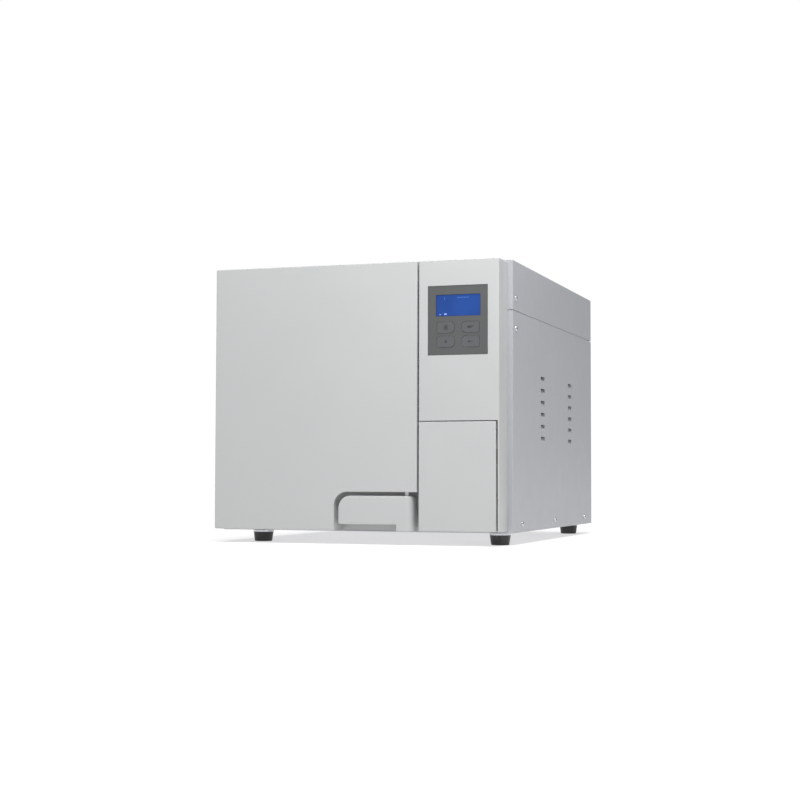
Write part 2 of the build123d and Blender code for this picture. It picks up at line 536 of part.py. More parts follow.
# ==========================================================================================
# Pressure chamber and its fittings
# ==========================================================================================
CHAMBER_WALL = 2.5
CHAMBER_FACE = CASE_FRONT - 1.0
CHAMBER_STRAIGHT = 100.0
HEAD_DEPTH = 42.0
CHAMBER_OUTER = CHAMBER_RADIUS + CHAMBER_WALL
HEAD_SPHERE = (CHAMBER_OUTER ** 2 + HEAD_DEPTH ** 2) / (2 * HEAD_DEPTH)
HEAD_CENTRE = CHAMBER_STRAIGHT + HEAD_DEPTH - HEAD_SPHERE


def head_y(radius, wall=0.0):
    """Y of the spherical rear head at a distance from the chamber's axis."""
    return HEAD_CENTRE + sqrt((HEAD_SPHERE - wall) ** 2 - radius ** 2)


with BuildPart() as pressure_chamber:
    with BuildSketch(Plane(origin=(CHAMBER_X, 0, CHAMBER_Z), x_dir=(1, 0, 0), z_dir=(0, 0, 1))):
        with BuildLine():
            inner_head = head_y(CHAMBER_RADIUS, CHAMBER_WALL)
            Polyline((CHAMBER_RADIUS, inner_head), (CHAMBER_RADIUS, CHAMBER_FACE),
                     (FLANGE_RADIUS, CHAMBER_FACE), (FLANGE_RADIUS, CHAMBER_FACE + 12),
                     (CHAMBER_OUTER, CHAMBER_FACE + 12), (CHAMBER_OUTER, CHAMBER_STRAIGHT))
            ThreePointArc((CHAMBER_OUTER, CHAMBER_STRAIGHT), (70, head_y(70)), (0, head_y(0)))
            Line((0, head_y(0)), (0, head_y(0, CHAMBER_WALL)))
            ThreePointArc((0, head_y(0, CHAMBER_WALL)), (70, head_y(70, CHAMBER_WALL)),
                          (CHAMBER_RADIUS, inner_head))
        make_face()
    revolve(axis=Axis((CHAMBER_X, 0, CHAMBER_Z), (0, 1, 0)))
    for port_x, port_z in PORTS:
        distance = sqrt((port_x - CHAMBER_X) ** 2 + (port_z - CHAMBER_Z) ** 2)
        bar("Y", (port_x, port_z), (head_y(distance + 7, CHAMBER_WALL / 2), PORT_END), 7.0)
        bar("Y", (port_x, port_z), (head_y(distance) - 30, PORT_END + 1), 3.1, mode=Mode.SUBTRACT)
save(pressure_chamber, "pressure_chamber")


with BuildPart() as band_heaters:
    for band in ((-190.0, -110.0), (-10.0, 70.0)):
        with BuildSketch(facing_y(CHAMBER_X, band[0], CHAMBER_Z)):
            Circle(CHAMBER_OUTER + 2.4)
            Circle(CHAMBER_OUTER + 0.1, mode=Mode.SUBTRACT)
        extrude(amount=band[1] - band[0])
save(band_heaters, "band_heaters")

JACKET_OUTER = 148.0
with BuildPart() as insulation_jacket:
    with BuildSketch(facing_y(CHAMBER_X, -222, CHAMBER_Z)):
        Circle(JACKET_OUTER)
        Circle(CHAMBER_OUTER + 2.6, mode=Mode.SUBTRACT)
    extrude(amount=320)
    fillet(insulation_jacket.edges().filter_by(GeomType.CIRCLE), 4)
save(insulation_jacket, "insulation_jacket")

with BuildPart() as chamber_cradle:
    for cradle_y in (-150.0, 60.0):
        block((CHAMBER_X - 90, CHAMBER_X + 90), (cradle_y, cradle_y + 3), (BOTTOM + SHEET, 110))
        block((CHAMBER_X - 90, CHAMBER_X + 90), (cradle_y, cradle_y + 30),
              (BOTTOM + SHEET, BOTTOM + SHEET + 3))
        bar("Y", (CHAMBER_X, CHAMBER_Z), (cradle_y - 1, cradle_y + 31), JACKET_OUTER + 0.2,
            mode=Mode.SUBTRACT)
save(chamber_cradle, "chamber_cradle")

RACK_HALF = 88.0
RACK_Y = (-225.0, 85.0)
RACK_Z = (CHAMBER_Z - 74, CHAMBER_Z + 74)
RACK_SHEET = 1.5
RAIL_DEPTH = 10.0
UPRIGHT_WIDTH = 14.0
UPRIGHTS_Y = (RACK_Y[0], -124.0, -30.0, RACK_Y[1] - UPRIGHT_WIDTH)
RAIL_LEVELS = (CHAMBER_Z - 50, CHAMBER_Z - 4, CHAMBER_Z + 42)
FIN_X = 67.0


def strip(x, y, z):
    """One flat strip of the rack; the strips are spot-welded face to face."""
    return Pos(sum(x) / 2, sum(y) / 2, sum(z) / 2) * Box(x[1] - x[0], y[1] - y[0], z[1] - z[0])


rack_strips = []
for side in (-1, 1):
    outer = CHAMBER_X + side * RACK_HALF
    inner = outer - side * RACK_SHEET
    for upright_y in UPRIGHTS_Y:
        rack_strips.append(strip(sorted((inner, outer)), (upright_y, upright_y + UPRIGHT_WIDTH), RACK_Z))
    rail = sorted((inner, outer - side * RAIL_DEPTH))
    for level in RAIL_LEVELS:
        rack_strips.append(strip(rail, RACK_Y, (level, level + RACK_SHEET)))
    fin = sorted((CHAMBER_X + side * (FIN_X - 1), CHAMBER_X + side * (FIN_X + 1)))
    rack_strips.append(strip(fin, RACK_Y, (CHAMBER_Z - 102.8, RACK_Z[0])))
tie = (CHAMBER_X - RACK_HALF + RACK_SHEET, CHAMBER_X + RACK_HALF - RACK_SHEET)
for upright_y in UPRIGHTS_Y:
    rack_strips.append(strip(tie, (upright_y, upright_y + UPRIGHT_WIDTH), (RACK_Z[0], RACK_Z[0] + RACK_SHEET)))
for upright_y in (UPRIGHTS_Y[0], UPRIGHTS_Y[-1]):
    rack_strips.append(strip(tie, (upright_y, upright_y + UPRIGHT_WIDTH), (RACK_Z[1] - RACK_SHEET, RACK_Z[1])))
tray_rack = Compound(label="tray_rack", children=rack_strips)
export_step(tray_rack, "parts/tray_rack.step")

TRAY_HALF = 85.0
TRAY_RIM = 12.0
with BuildPart() as trays:
    for level in RAIL_LEVELS:
        block((CHAMBER_X - TRAY_HALF, CHAMBER_X + TRAY_HALF), (-222, 80),
              (level + 1.6, level + 1.6 + TRAY_RIM))
    fillet(trays.edges().filter_by(Axis.Z), 6)
    for level in RAIL_LEVELS:
        with BuildSketch(Plane.XY.offset(level + 2.6)):
            with Locations((CHAMBER_X, -71)):
                RectangleRounded(2 * TRAY_HALF - 2, 300, 5)
        extrude(amount=TRAY_RIM, mode=Mode.SUBTRACT)
        with BuildSketch(Plane.XY.offset(level)):
            with Locations((CHAMBER_X, -71)):
                with GridLocations(22, 26, 7, 11):
                    Circle(4)
        extrude(amount=4, mode=Mode.SUBTRACT)
save(trays, "trays")

# ==========================================================================================
# Door
# ==========================================================================================
COVER_WALL = 2.5
HINGE_ARC = DOOR_BACK - HINGE_Y
ARC_LEFT = HINGE_X - FRONT_LEFT
with BuildPart() as door_cover:
    block((FRONT_LEFT, DOOR_RIGHT), (FRONT, DOOR_BACK), (FRONT_LOW, FRONT_HIGH))
    fillet(edges_along(door_cover, Axis.Z, (-FAR, FRONT - 1, 0), (FAR, FRONT + 1, FAR)), 2.0)
    fillet(edges_along(door_cover, Axis.X, (-FAR, FRONT - 1, 0), (FAR, FRONT + 1, FAR)), 2.0)
    block((FRONT_LEFT + COVER_WALL, DOOR_RIGHT - COVER_WALL), (FRONT + 3, DOOR_BACK + 1),
          (FRONT_LOW + COVER_WALL, FRONT_HIGH - COVER_WALL), mode=Mode.SUBTRACT)
    with BuildSketch(facing_y(0, FRONT + 1.5, 0)):
        with BuildLine():
            left = NOTCH_LEFT - COVER_WALL
            top = -(NOTCH_TOP + COVER_WALL)
            Line((DOOR_RIGHT - 1, -FRONT_LOW), (left, -FRONT_LOW))
            Line((left, -FRONT_LOW), (left, top + 21))
            RadiusArc((left, top + 21), (left + 21, top), -21)
            Line((left + 21, top), (DOOR_RIGHT - 1, top))
            Line((DOOR_RIGHT - 1, top), (DOOR_RIGHT - 1, -FRONT_LOW))
        make_face()
    extrude(amount=NOTCH_BACK + COVER_WALL - FRONT - 1.5)
    with BuildSketch(facing_y(0, FRONT - 1, 0)):
        with BuildLine():
            top = -NOTCH_TOP
            Line((DOOR_RIGHT + 1, 0), (NOTCH_LEFT, 0))
            Line((NOTCH_LEFT, 0), (NOTCH_LEFT, top + 19))
            RadiusArc((NOTCH_LEFT, top + 19), (NOTCH_LEFT + 19, top), -19)
            Line((NOTCH_LEFT + 19, top), (DOOR_RIGHT + 1, top))
            Line((DOOR_RIGHT + 1, top), (DOOR_RIGHT + 1, 0))
        make_face()
    extrude(amount=NOTCH_BACK - FRONT + 1, mode=Mode.SUBTRACT)
    # Rear left corner rounded about the hinge axis, so that the door turns clear of the case.
    with BuildSketch(Plane.XY):
        with Locations(((FRONT_LEFT - 5 + HINGE_X) / 2, DOOR_BACK - 9)):
            Rectangle(HINGE_X - FRONT_LEFT + 5, 20)
        with Locations((HINGE_X, HINGE_Y)):
            Circle(HINGE_ARC, mode=Mode.SUBTRACT)
    extrude(amount=TOP, mode=Mode.SUBTRACT)
    # Openings for the two hinge lugs.
    for low, high in (LUG_LOW, LUG_HIGH):
        block((FRONT_LEFT - 1, HINGE_X + 12), (HINGE_Y - 15, DOOR_BACK + 1), (low - 2, high + 2),
              mode=Mode.SUBTRACT)
    bar("Z", (PIVOT_X, PIVOT_Y), (NOTCH_TOP - 1, NOTCH_TOP + COVER_WALL + 1), SHAFT_RADIUS + 0.1,
        mode=Mode.SUBTRACT)
save(door_cover, "door_cover")

LINER_Y = (DOOR_BACK - 3.0, DOOR_BACK - 1.0)
with BuildPart() as door_liner:
    block((HINGE_X + 3, DOOR_RIGHT - COVER_WALL - 0.2), LINER_Y,
          (FRONT_LOW + COVER_WALL + 0.2, FRONT_HIGH - COVER_WALL - 0.2))
    bar("Y", (CHAMBER_X, CHAMBER_Z), (LINER_Y[0] - 1, LINER_Y[1] + 1), 139.0, mode=Mode.SUBTRACT)
    block((NOTCH_LEFT - COVER_WALL - 0.3, 200), (LINER_Y[0] - 1, LINER_Y[1] + 1),
          (0, HOOK_HIGH + 3), mode=Mode.SUBTRACT)
    for low, high in (LUG_LOW, LUG_HIGH):
        block((HINGE_X, HINGE_X + 12), (LINER_Y[0] - 1, LINER_Y[1] + 1), (low - 2, high + 2),
              mode=Mode.SUBTRACT)
save(door_liner, "door_liner")

BARREL = (LUG_LOW[1] + 0.3, LUG_HIGH[0] - 0.3)
BEAM_Z = (CHAMBER_Z - 25, CHAMBER_Z + 25)
BEAM_Y = (FRONT + 5, FRONT + 27)
with BuildPart() as door_beam:
    block((HINGE_X, 60), BEAM_Y, BEAM_Z)
    block((HINGE_X - 1, 61), (BEAM_Y[0] + 4, BEAM_Y[1] + 1), (BEAM_Z[0] + 4, BEAM_Z[1] - 4),
          mode=Mode.SUBTRACT)
    block((HINGE_X, 61), (BEAM_Y[0] + 18, BEAM_Y[1]), (BEAM_Z[0] + 8, BEAM_Z[1] - 8),
          mode=Mode.SUBTRACT)
    block((CHAMBER_X - 22, CHAMBER_X + 22), BEAM_Y, BEAM_Z)
    bar("Z", (HINGE_X, HINGE_Y), BARREL, KNUCKLE_RADIUS)
    bar("Z", (HINGE_X, HINGE_Y), (BARREL[0] - 1, BARREL[1] + 1), HINGE_PIN_RADIUS + 0.05,
        mode=Mode.SUBTRACT)
    bar("Y", (CHAMBER_X, CHAMBER_Z), (BEAM_Y[0] - 1, BEAM_Y[1] + 1), 8.1, mode=Mode.SUBTRACT)
save(door_beam, "door_beam")

PLATE_Y = (DOOR_BACK - 13.0, DOOR_BACK - 2.0)
with BuildPart() as door_pressure_plate:
    with BuildSketch(Plane(origin=(CHAMBER_X, 0, CHAMBER_Z), x_dir=(1, 0, 0), z_dir=(0, 0, 1))):
        with BuildLine():
            Polyline((0, PLATE_Y[0]), (130, PLATE_Y[0]), (134, PLATE_Y[0] + 4), (134, PLATE_Y[1]),
                     (131.2, PLATE_Y[1]), (131.2, PLATE_Y[1] - 3), (124, PLATE_Y[1] - 3),
                     (124, PLATE_Y[1]), (114, PLATE_Y[1]), (104, PLATE_Y[1] - 4),
                     (0, PLATE_Y[1] - 4), (0, PLATE_Y[0]))
        make_face()
    revolve(axis=Axis((CHAMBER_X, 0, CHAMBER_Z), (0, 1, 0)))
    bar("Y", (CHAMBER_X, CHAMBER_Z), (FRONT + 4, PLATE_Y[0] + 1), 8.0)
save(door_pressure_plate, "door_pressure_plate")

with BuildPart() as door_gasket:
    with BuildSketch(Plane(origin=(CHAMBER_X, 0, CHAMBER_Z), x_dir=(1, 0, 0), z_dir=(0, 0, 1))):
        with BuildLine():
            Polyline((124.1, PLATE_Y[1] - 2.9), (131.1, PLATE_Y[1] - 2.9), (131.1, PLATE_Y[1]),
                     (129.5, CHAMBER_FACE - 0.3), (126, CHAMBER_FACE - 0.3),
                     (124.1, PLATE_Y[1] + 1), (124.1, PLATE_Y[1] - 2.9))
        make_face()
    revolve(axis=Axis((CHAMBER_X, 0, CHAMBER_Z), (0, 1, 0)))
save(door_gasket, "door_gasket")

with BuildPart() as hinge_bracket:
    block((-205.0, -192.0), (FRAME_FACE - 1.8, FRAME_FACE), (LUG_LOW[0] - 12, LUG_HIGH[1] + 12))
    for low, high in (LUG_LOW, LUG_HIGH):
        block((HINGE_X - 2.8, HINGE_X + 7), (HINGE_Y, FRAME_FACE), (low, high))
        bar("Z", (HINGE_X, HINGE_Y), (low, high), KNUCKLE_RADIUS)
        bar("Z", (HINGE_X, HINGE_Y), (low - 1, high + 1), HINGE_PIN_RADIUS + 0.05,
            mode=Mode.SUBTRACT)
save(hinge_bracket, "hinge_bracket")

with BuildPart() as hinge_pin:
    bar("Z", (HINGE_X, HINGE_Y), (LUG_LOW[0] - 3, LUG_HIGH[1]), HINGE_PIN_RADIUS)
    bar("Z", (HINGE_X, HINGE_Y), (LUG_HIGH[1], LUG_HIGH[1] + 1.6), 7.0)
save(hinge_pin, "hinge_pin")

HANDLE_THICK = 12.0
with BuildPart() as handle:
    with BuildSketch(facing_y(0, FRONT, 0)):
        with BuildLine():
            Line((HANDLE_RIGHT, -FRONT_LOW), (HANDLE_LEG, -FRONT_LOW))
            Line((HANDLE_LEG, -FRONT_LOW), (HANDLE_LEG, -FINGER_TOP))
            Line((HANDLE_LEG, -FINGER_TOP), (HANDLE_LEFT + 3, -FINGER_TOP))
            RadiusArc((HANDLE_LEFT + 3, -FINGER_TOP), (HANDLE_LEFT, -FINGER_TOP - 3), -3)
            Line((HANDLE_LEFT, -FINGER_TOP - 3), (HANDLE_LEFT, -HANDLE_TOP + 18))
            RadiusArc((HANDLE_LEFT, -HANDLE_TOP + 18), (HANDLE_LEFT + 18, -HANDLE_TOP), -18)
            Line((HANDLE_LEFT + 18, -HANDLE_TOP), (HANDLE_RIGHT - 4, -HANDLE_TOP))
            RadiusArc((HANDLE_RIGHT - 4, -HANDLE_TOP), (HANDLE_RIGHT, -HANDLE_TOP + 4), -4)
            Line((HANDLE_RIGHT, -HANDLE_TOP + 4), (HANDLE_RIGHT, -FRONT_LOW))
        make_face()
    extrude(amount=HANDLE_THICK)
    block((HANDLE_LEG, HANDLE_RIGHT), (FRONT + 1, FRONT + 20), (FRONT_LOW, HANDLE_TOP - 4))
    # The right end is rounded about the shaft, so that it turns in place.
    with BuildSketch(Plane.XY):
        with Locations((PIVOT_X + 8, PIVOT_Y - 8)):
            Rectangle(16, 16)
        with Locations((PIVOT_X, PIVOT_Y)):
            Circle(HANDLE_RIGHT - PIVOT_X, mode=Mode.SUBTRACT)
    extrude(amount=HANDLE_TOP + 1, mode=Mode.SUBTRACT)
    front_rim = [e for e in handle.edges() if abs(e.center().Y - FRONT) < 0.01
                 and e.center().X < HANDLE_LEG - 1 and e.length > 2]
    fillet(front_rim, 2.8)
    bar("Z", (PIVOT_X, PIVOT_Y), (FRONT_LOW + 4, HANDLE_TOP + 1), SHAFT_RADIUS + 0.02,
        mode=Mode.SUBTRACT)
save(handle, "handle")

HOOK_TIP = -222.0
with BuildPart() as lock_hook:
    bar("Z", (PIVOT_X, PIVOT_Y), (FRONT_LOW + 4.5, HOOK_HIGH + 14), SHAFT_RADIUS)
    bar("Z", (PIVOT_X, PIVOT_Y), (HOOK_LOW, HOOK_HIGH), 6.5)
    block((PIVOT_X - 6, PIVOT_X + 6), (PIVOT_Y, HOOK_TIP - 6), (HOOK_LOW, HOOK_HIGH))
    bar("Z", (PIVOT_X, HOOK_TIP - 7), (HOOK_LOW, HOOK_HIGH), 7.0)
    bar("Z", (PIVOT_X, EYE_Y), (HOOK_LOW - 1, HOOK_HIGH + 1), BOLT_RADIUS + 0.6, mode=Mode.SUBTRACT)
save(lock_hook, "lock_hook")

with BuildPart() as hook_bracket:
    for low, high in ((NOTCH_TOP + COVER_WALL, HOOK_LOW - 2), (HOOK_HIGH + 2, HOOK_HIGH + 4.5)):
        block((PIVOT_X - 14, DOOR_RIGHT - COVER_WALL), (FRONT + 3, PIVOT_Y + 18), (low, high))
        bar("Z", (PIVOT_X, PIVOT_Y), (low - 1, high + 1), SHAFT_RADIUS + 0.05, mode=Mode.SUBTRACT)
    block((DOOR_RIGHT - COVER_WALL - 2, DOOR_RIGHT - COVER_WALL), (FRONT + 3, PIVOT_Y + 18),
          (NOTCH_TOP + COVER_WALL, HOOK_HIGH + 20))
save(hook_bracket, "hook_bracket")

KEEPER_X = (62.0, 98.0)
KEEPER_REAR = -215.0
GUIDE_LOW = (HOOK_LOW - 6, HOOK_LOW - 3)
GUIDE_HIGH = (HOOK_HIGH + 3, HOOK_HIGH + 6)
with BuildPart() as lock_keeper:
    for guide in (GUIDE_LOW, GUIDE_HIGH):
        block(KEEPER_X, (FRAME_BACK, KEEPER_REAR), guide)
        bar("Z", (PIVOT_X, EYE_Y), (guide[0] - 1, guide[1] + 1), BOLT_RADIUS + 0.08,
            mode=Mode.SUBTRACT)
    block(KEEPER_X, (KEEPER_REAR - 2, KEEPER_REAR), (GUIDE_LOW[0] - 3, GUIDE_HIGH[1]))
    block((KEEPER_X[1] - 2, KEEPER_X[1]), (FRAME_BACK, KEEPER_REAR), (GUIDE_LOW[0], GUIDE_HIGH[1]))
    for low, high in ((GUIDE_HIGH[1], GUIDE_HIGH[1] + 14), (GUIDE_LOW[0] - 14, GUIDE_LOW[0])):
        block(KEEPER_X, (FRAME_BACK, FRAME_BACK + 2), (low, high))
save(lock_keeper, "lock_keeper")

BOLT_TOP = HOOK_LOW - 3.2
SOLENOID_Z = (38.5, 72.0)
with BuildPart() as lock_solenoid:
    block((PIVOT_X - 16, PIVOT_X + 16), (EYE_Y - 7.6, EYE_Y + 15), SOLENOID_Z)
    block((PIVOT_X - 13, PIVOT_X + 13), (EYE_Y - 8.6, EYE_Y + 16), (SOLENOID_Z[0] + 2, SOLENOID_Z[1] - 2),
          mode=Mode.SUBTRACT)
    bar("Z", (PIVOT_X, EYE_Y), (SOLENOID_Z[0] + 1, SOLENOID_Z[1] - 1), 7.5)
    bar("Z", (PIVOT_X, EYE_Y), (SOLENOID_Z[0] + 4, SOLENOID_Z[1] + 1), BOLT_RADIUS + 0.08,
        mode=Mode.SUBTRACT)
save(lock_solenoid, "lock_solenoid")

with BuildPart() as lock_bolt:
    bar("Z", (PIVOT_X, EYE_Y), (SOLENOID_Z[0] + 6, BOLT_TOP), BOLT_RADIUS)
    fillet(lock_bolt.edges().filter_by(GeomType.CIRCLE).group_by(Axis.Z)[-1], 1.0)
save(lock_bolt, "lock_bolt")

# ==========================================================================================
# Water system
# ==========================================================================================
TANK_X = (96.0, 214.0)
TANK_Y = (-12.0, 200.0)
TANK_Z = (245.0, 398.0)
TANK_WALL = 2.5
COLLAR = 96.0
with BuildPart() as water_tank:
    block(TANK_X, TANK_Y, TANK_Z)
    fillet(water_tank.edges().filter_by(Axis.Z), 8)
    for y in ((TANK_Y[0] + TANK_WALL, 128), (128 + TANK_WALL, TANK_Y[1] - TANK_WALL)):
        block((TANK_X[0] + TANK_WALL, TANK_X[1] - TANK_WALL), y,
              (TANK_Z[0] + TANK_WALL, TANK_Z[1] - TANK_WALL), mode=Mode.SUBTRACT)
    with BuildSketch(Plane.XY.offset(TANK_Z[1] - 1)):
        with Locations(FILL_AT):
            RectangleRounded(COLLAR, COLLAR, 9)
    extrude(amount=TOP + 1.5 - TANK_Z[1] + 1)
    with BuildSketch(Plane.XY.offset(TANK_Z[1] - TANK_WALL - 1)):
        with Locations(FILL_AT):
            RectangleRounded(COLLAR - 5, COLLAR - 5, 7)
    extrude(amount=20, mode=Mode.SUBTRACT)
save(water_tank, "water_tank")

LID_SIZE = 108.0
LUG_X = 34.0
with BuildPart() as tank_fill_frame:
    with BuildSketch(Plane.XY.offset(TOP)):
        with Locations((FILL_AT[0], FILL_AT[1] + 4)):
            RectangleRounded(122, 130, 12)
        with Locations(FILL_AT):
            RectangleRounded(COLLAR + 0.4, COLLAR + 0.4, 9.2, mode=Mode.SUBTRACT)
    extrude(amount=2.0)
    fillet(tank_fill_frame.faces().sort_by(Axis.Z)[-1].outer_wire().edges(), 1.4)
    for side in (-1, 1):
        lug = (FILL_AT[0] + side * LUG_X - 4, FILL_AT[0] + side * LUG_X + 4)
        block(lug, (LID_PIVOT[0] - 2.2, LID_PIVOT[0] + 2.2), (TOP + 1, LID_PIVOT[1]))
        bar("X", LID_PIVOT, lug, 2.2)
        bar("X", LID_PIVOT, (lug[0] - 1, lug[1] + 1), 1.15, mode=Mode.SUBTRACT)
save(tank_fill_frame, "tank_fill_frame")

LID_Z = (TOP + 2.3, TOP + 5.3)
with BuildPart() as tank_lid:
    with BuildSketch(Plane.XY.offset(LID_Z[0])):
        with Locations(FILL_AT):
            RectangleRounded(LID_SIZE, LID_SIZE, 10)
    extrude(amount=LID_Z[1] - LID_Z[0])
    fillet(tank_lid.faces().sort_by(Axis.Z)[-1].edges(), 1.4)
    with BuildSketch(Plane.XY.offset(TOP - 3)):
        with Locations(FILL_AT):
            RectangleRounded(86, 86, 6)
            RectangleRounded(82, 82, 4, mode=Mode.SUBTRACT)
    extrude(amount=LID_Z[0] + 1 - TOP + 3)
    for side in (-1, 1):
        middle = FILL_AT[0] + side * (LUG_X - 9)
        block((middle - 4.6, middle + 4.6), (FILL_AT[1] + LID_SIZE / 2 - 1, LID_PIVOT[0]), LID_Z)
        bar("X", LID_PIVOT, (middle - 4.6, middle + 4.6), 2.2)
        bar("X", LID_PIVOT, sorted((middle, FILL_AT[0] + side * (LUG_X + 4))), 1.1)
    block((FILL_AT[0] - 18, FILL_AT[0] + 18), (FILL_AT[1] - LID_SIZE / 2 - 3, FILL_AT[1] - LID_SIZE / 2 + 2),
          (LID_Z[0], LID_Z[0] + 2))
save(tank_lid, "tank_lid")

GENERATOR_AT = (150.0, -70.0)
with BuildPart() as steam_generator:
    bar("Z", GENERATOR_AT, (36, 138), 38)
    for low, high in ((32, 38), (134, 142)):
        bar("Z", GENERATOR_AT, (low, high), 45)
    with BuildSketch(Plane.XY.offset(142)):
        with Locations(GENERATOR_AT):
            with PolarLocations(40, 8):
                RegularPolygon(4, 6)
    extrude(amount=3.5)
    bar("Z", GENERATOR_AT, (142, 152), 7)
    for side in (-1, 1):
        bar("Z", (GENERATOR_AT[0] + side * 20, GENERATOR_AT[1]), (142, 156), 3)
    for leg in ((-1, -1), (-1, 1), (1, -1), (1, 1)):
        leg_at = (GENERATOR_AT[0] + leg[0] * 28, GENERATOR_AT[1] + leg[1] * 28)
        bar("Z", leg_at, (BOTTOM + SHEET, 33), 5)
save(steam_generator, "steam_generator")

PUMP_AXIS = (222.0, 78.0)
with BuildPart() as vacuum_pump:
    bar("X", PUMP_AXIS, (-185, -85), 34)
    for low, high in ((-192, -184), (-86, -78)):
        bar("X", PUMP_AXIS, (low, high), 38)
    fillet([e for e in vacuum_pump.edges().filter_by(GeomType.CIRCLE) if e.radius > 37], 1.5)
    for x in ((-212, -192), (-78, -50)):
        block(x, (196, 248), (58, 112))
    block((-150, -120), (205, 239), (106, 118))
    bar("Z", (-120 + 60, 221), (112, 120), 6)
    block((-190, -80), (196, 248), (34, 46))
    for foot_x in (-180, -90):
        for foot_y in (202, 242):
            bar("Z", (foot_x, foot_y), (BOTTOM + SHEET, 34.5), 7)
save(vacuum_pump, "vacuum_pump")

with BuildPart() as water_pump:
    block((98, 150), (204, 244), (BOTTOM + SHEET, BOTTOM + SHEET + 3))
    bar("X", (224, 44), (96, 152), 20)
    block((108, 140), (206, 242), (BOTTOM + SHEET, 46))
    bar("X", (224, 44), (84, 166), 5)
save(water_pump, "water_pump")

CONDENSER_X = (-178.0, -62.0)
CONDENSER_Z = (204.0, 320.0)
CONDENSER_Y = (208.0, 236.0)
with BuildPart() as condenser:
    fin_count = 24
    fin_pitch = (CONDENSER_X[1] - CONDENSER_X[0] - 1) / (fin_count - 1)
    fin_middle = ((CONDENSER_X[0] + CONDENSER_X[1]) / 2, sum(CONDENSER_Y) / 2, sum(CONDENSER_Z) / 2)
    with Locations(fin_middle):
        with GridLocations(fin_pitch, 1, fin_count, 1):
            Box(0.8, CONDENSER_Y[1] - CONDENSER_Y[0], CONDENSER_Z[1] - CONDENSER_Z[0])
    for row in range(5):
        level = CONDENSER_Z[0] + 12 + row * 23
        bar("X", (sum(CONDENSER_Y) / 2, level), (CONDENSER_X[0] - 4, CONDENSER_X[1] + 4), 4)
    for z in ((CONDENSER_Z[0] - 1.5, CONDENSER_Z[0] + 0.5), (CONDENSER_Z[1] - 0.5, CONDENSER_Z[1] + 1.5)):
        block((CONDENSER_X[0] - 4, CONDENSER_X[1] + 4), CONDENSER_Y, z)
    for x in ((CONDENSER_X[0] - 5, CONDENSER_X[0] - 3.5), (CONDENSER_X[1] + 3.5, CONDENSER_X[1] + 5)):
        block(x, (CONDENSER_Y[0], CONDENSER_Y[1]), (CONDENSER_Z[0] - 1.5, CONDENSER_Z[1] + 1.5))
save(condenser, "condenser")

FAN_DEPTH = 25.0
with BuildPart() as fan_frame:
    block((FAN_AT[0] - 60, FAN_AT[0] + 60), (FAN_FACE - FAN_DEPTH, FAN_FACE), (FAN_AT[1] - 60, FAN_AT[1] + 60))
    fillet(fan_frame.edges().filter_by(Axis.Y), 6)
    bar("Y", FAN_AT, (FAN_FACE - FAN_DEPTH - 1, FAN_FACE + 1), 57, mode=Mode.SUBTRACT)
    with BuildSketch(facing_y(FAN_AT[0], FAN_FACE - 4, FAN_AT[1])):
        Circle(20)
        with PolarLocations(40, 4, start_angle=45):
            Rectangle(44, 5)
    extrude(amount=4)
    bar("Y", FAN_AT, (FAN_FACE - 20, FAN_FACE - 3), 2.0)
    with BuildSketch(facing_y(FAN_AT[0], FAN_FACE - FAN_DEPTH - 1, FAN_AT[1])):
        with GridLocations(105, 105, 2, 2):
            Circle(2.2)
    extrude(amount=FAN_DEPTH + 2, mode=Mode.SUBTRACT)
save(fan_frame, "fan_frame")

BLADES = 7
with BuildPart() as fan_rotor:
    bar("Y", FAN_AT, (FAN_FACE - 22, FAN_FACE - 5), 21)
    for blade in range(BLADES):
        turn = 360.0 * blade / BLADES
        outward = (cos(radians(turn)), 0, sin(radians(turn)))
        root = (FAN_AT[0] + 19 * outward[0], FAN_FACE - 13.5, FAN_AT[1] + 19 * outward[2])
        with BuildSketch(Plane(origin=root, x_dir=(0, 1, 0), z_dir=outward)):
            Rectangle(1.8, 19, rotation=58)
        extrude(amount=35)
    fillet(fan_rotor.edges().filter_by(GeomType.CIRCLE).group_by(Axis.Y)[0], 1.0)
    bar("Y", FAN_AT, (FAN_FACE - 21, FAN_FACE - 4), 2.05, mode=Mode.SUBTRACT)
save(fan_rotor, "fan_rotor")

with BuildPart() as main_board:
    block((213.5, 215.1), (-205, -84), (190, 385))
    for y, z, size, height in ((-182, 350, 30, 18), (-140, 350, 24, 22), (-106, 345, 20, 16),
                               (-180, 290, 26, 20), (-120, 285, 40, 30), (-175, 225, 44, 12),
                               (-106, 215, 28, 24)):
        block((213.6 - height, 213.6), (y - size / 2, y + size / 2), (z - size / 2, z + size / 2))
    for y in (-138, -127, -116):
        bar("X", (y, 245), (190, 213.6), 4.5)
    for y, z in ((-200, 195), (-90, 195), (-200, 380), (-90, 380)):
        bar("X", (y, z), (215, 220.9), 3)
save(main_board, "main_board")

MANIFOLD_Z = (165.0, 183.0)
MANIFOLD_Y = (20.0, 44.0)
with BuildPart() as solenoid_valves:
    block((100, 212), MANIFOLD_Y, MANIFOLD_Z)
    for valve in range(4):
        valve_x = 115 + 27 * valve
        bar("Z", (valve_x, sum(MANIFOLD_Y) / 2), (MANIFOLD_Z[1], MANIFOLD_Z[1] + 8), 6)
        block((valve_x - 11, valve_x + 11), (MANIFOLD_Y[0] - 2, MANIFOLD_Y[1] + 2),
              (MANIFOLD_Z[1] + 8, MANIFOLD_Z[1] + 38))
        bar("Z", (valve_x, sum(MANIFOLD_Y) / 2), (MANIFOLD_Z[1] + 37, MANIFOLD_Z[1] + 43), 5)
    for x in ((104, 112), (200, 208)):
        block(x, (MANIFOLD_Y[0] + 4, MANIFOLD_Y[1] - 4), (BOTTOM + SHEET, MANIFOLD_Z[0] + 1))
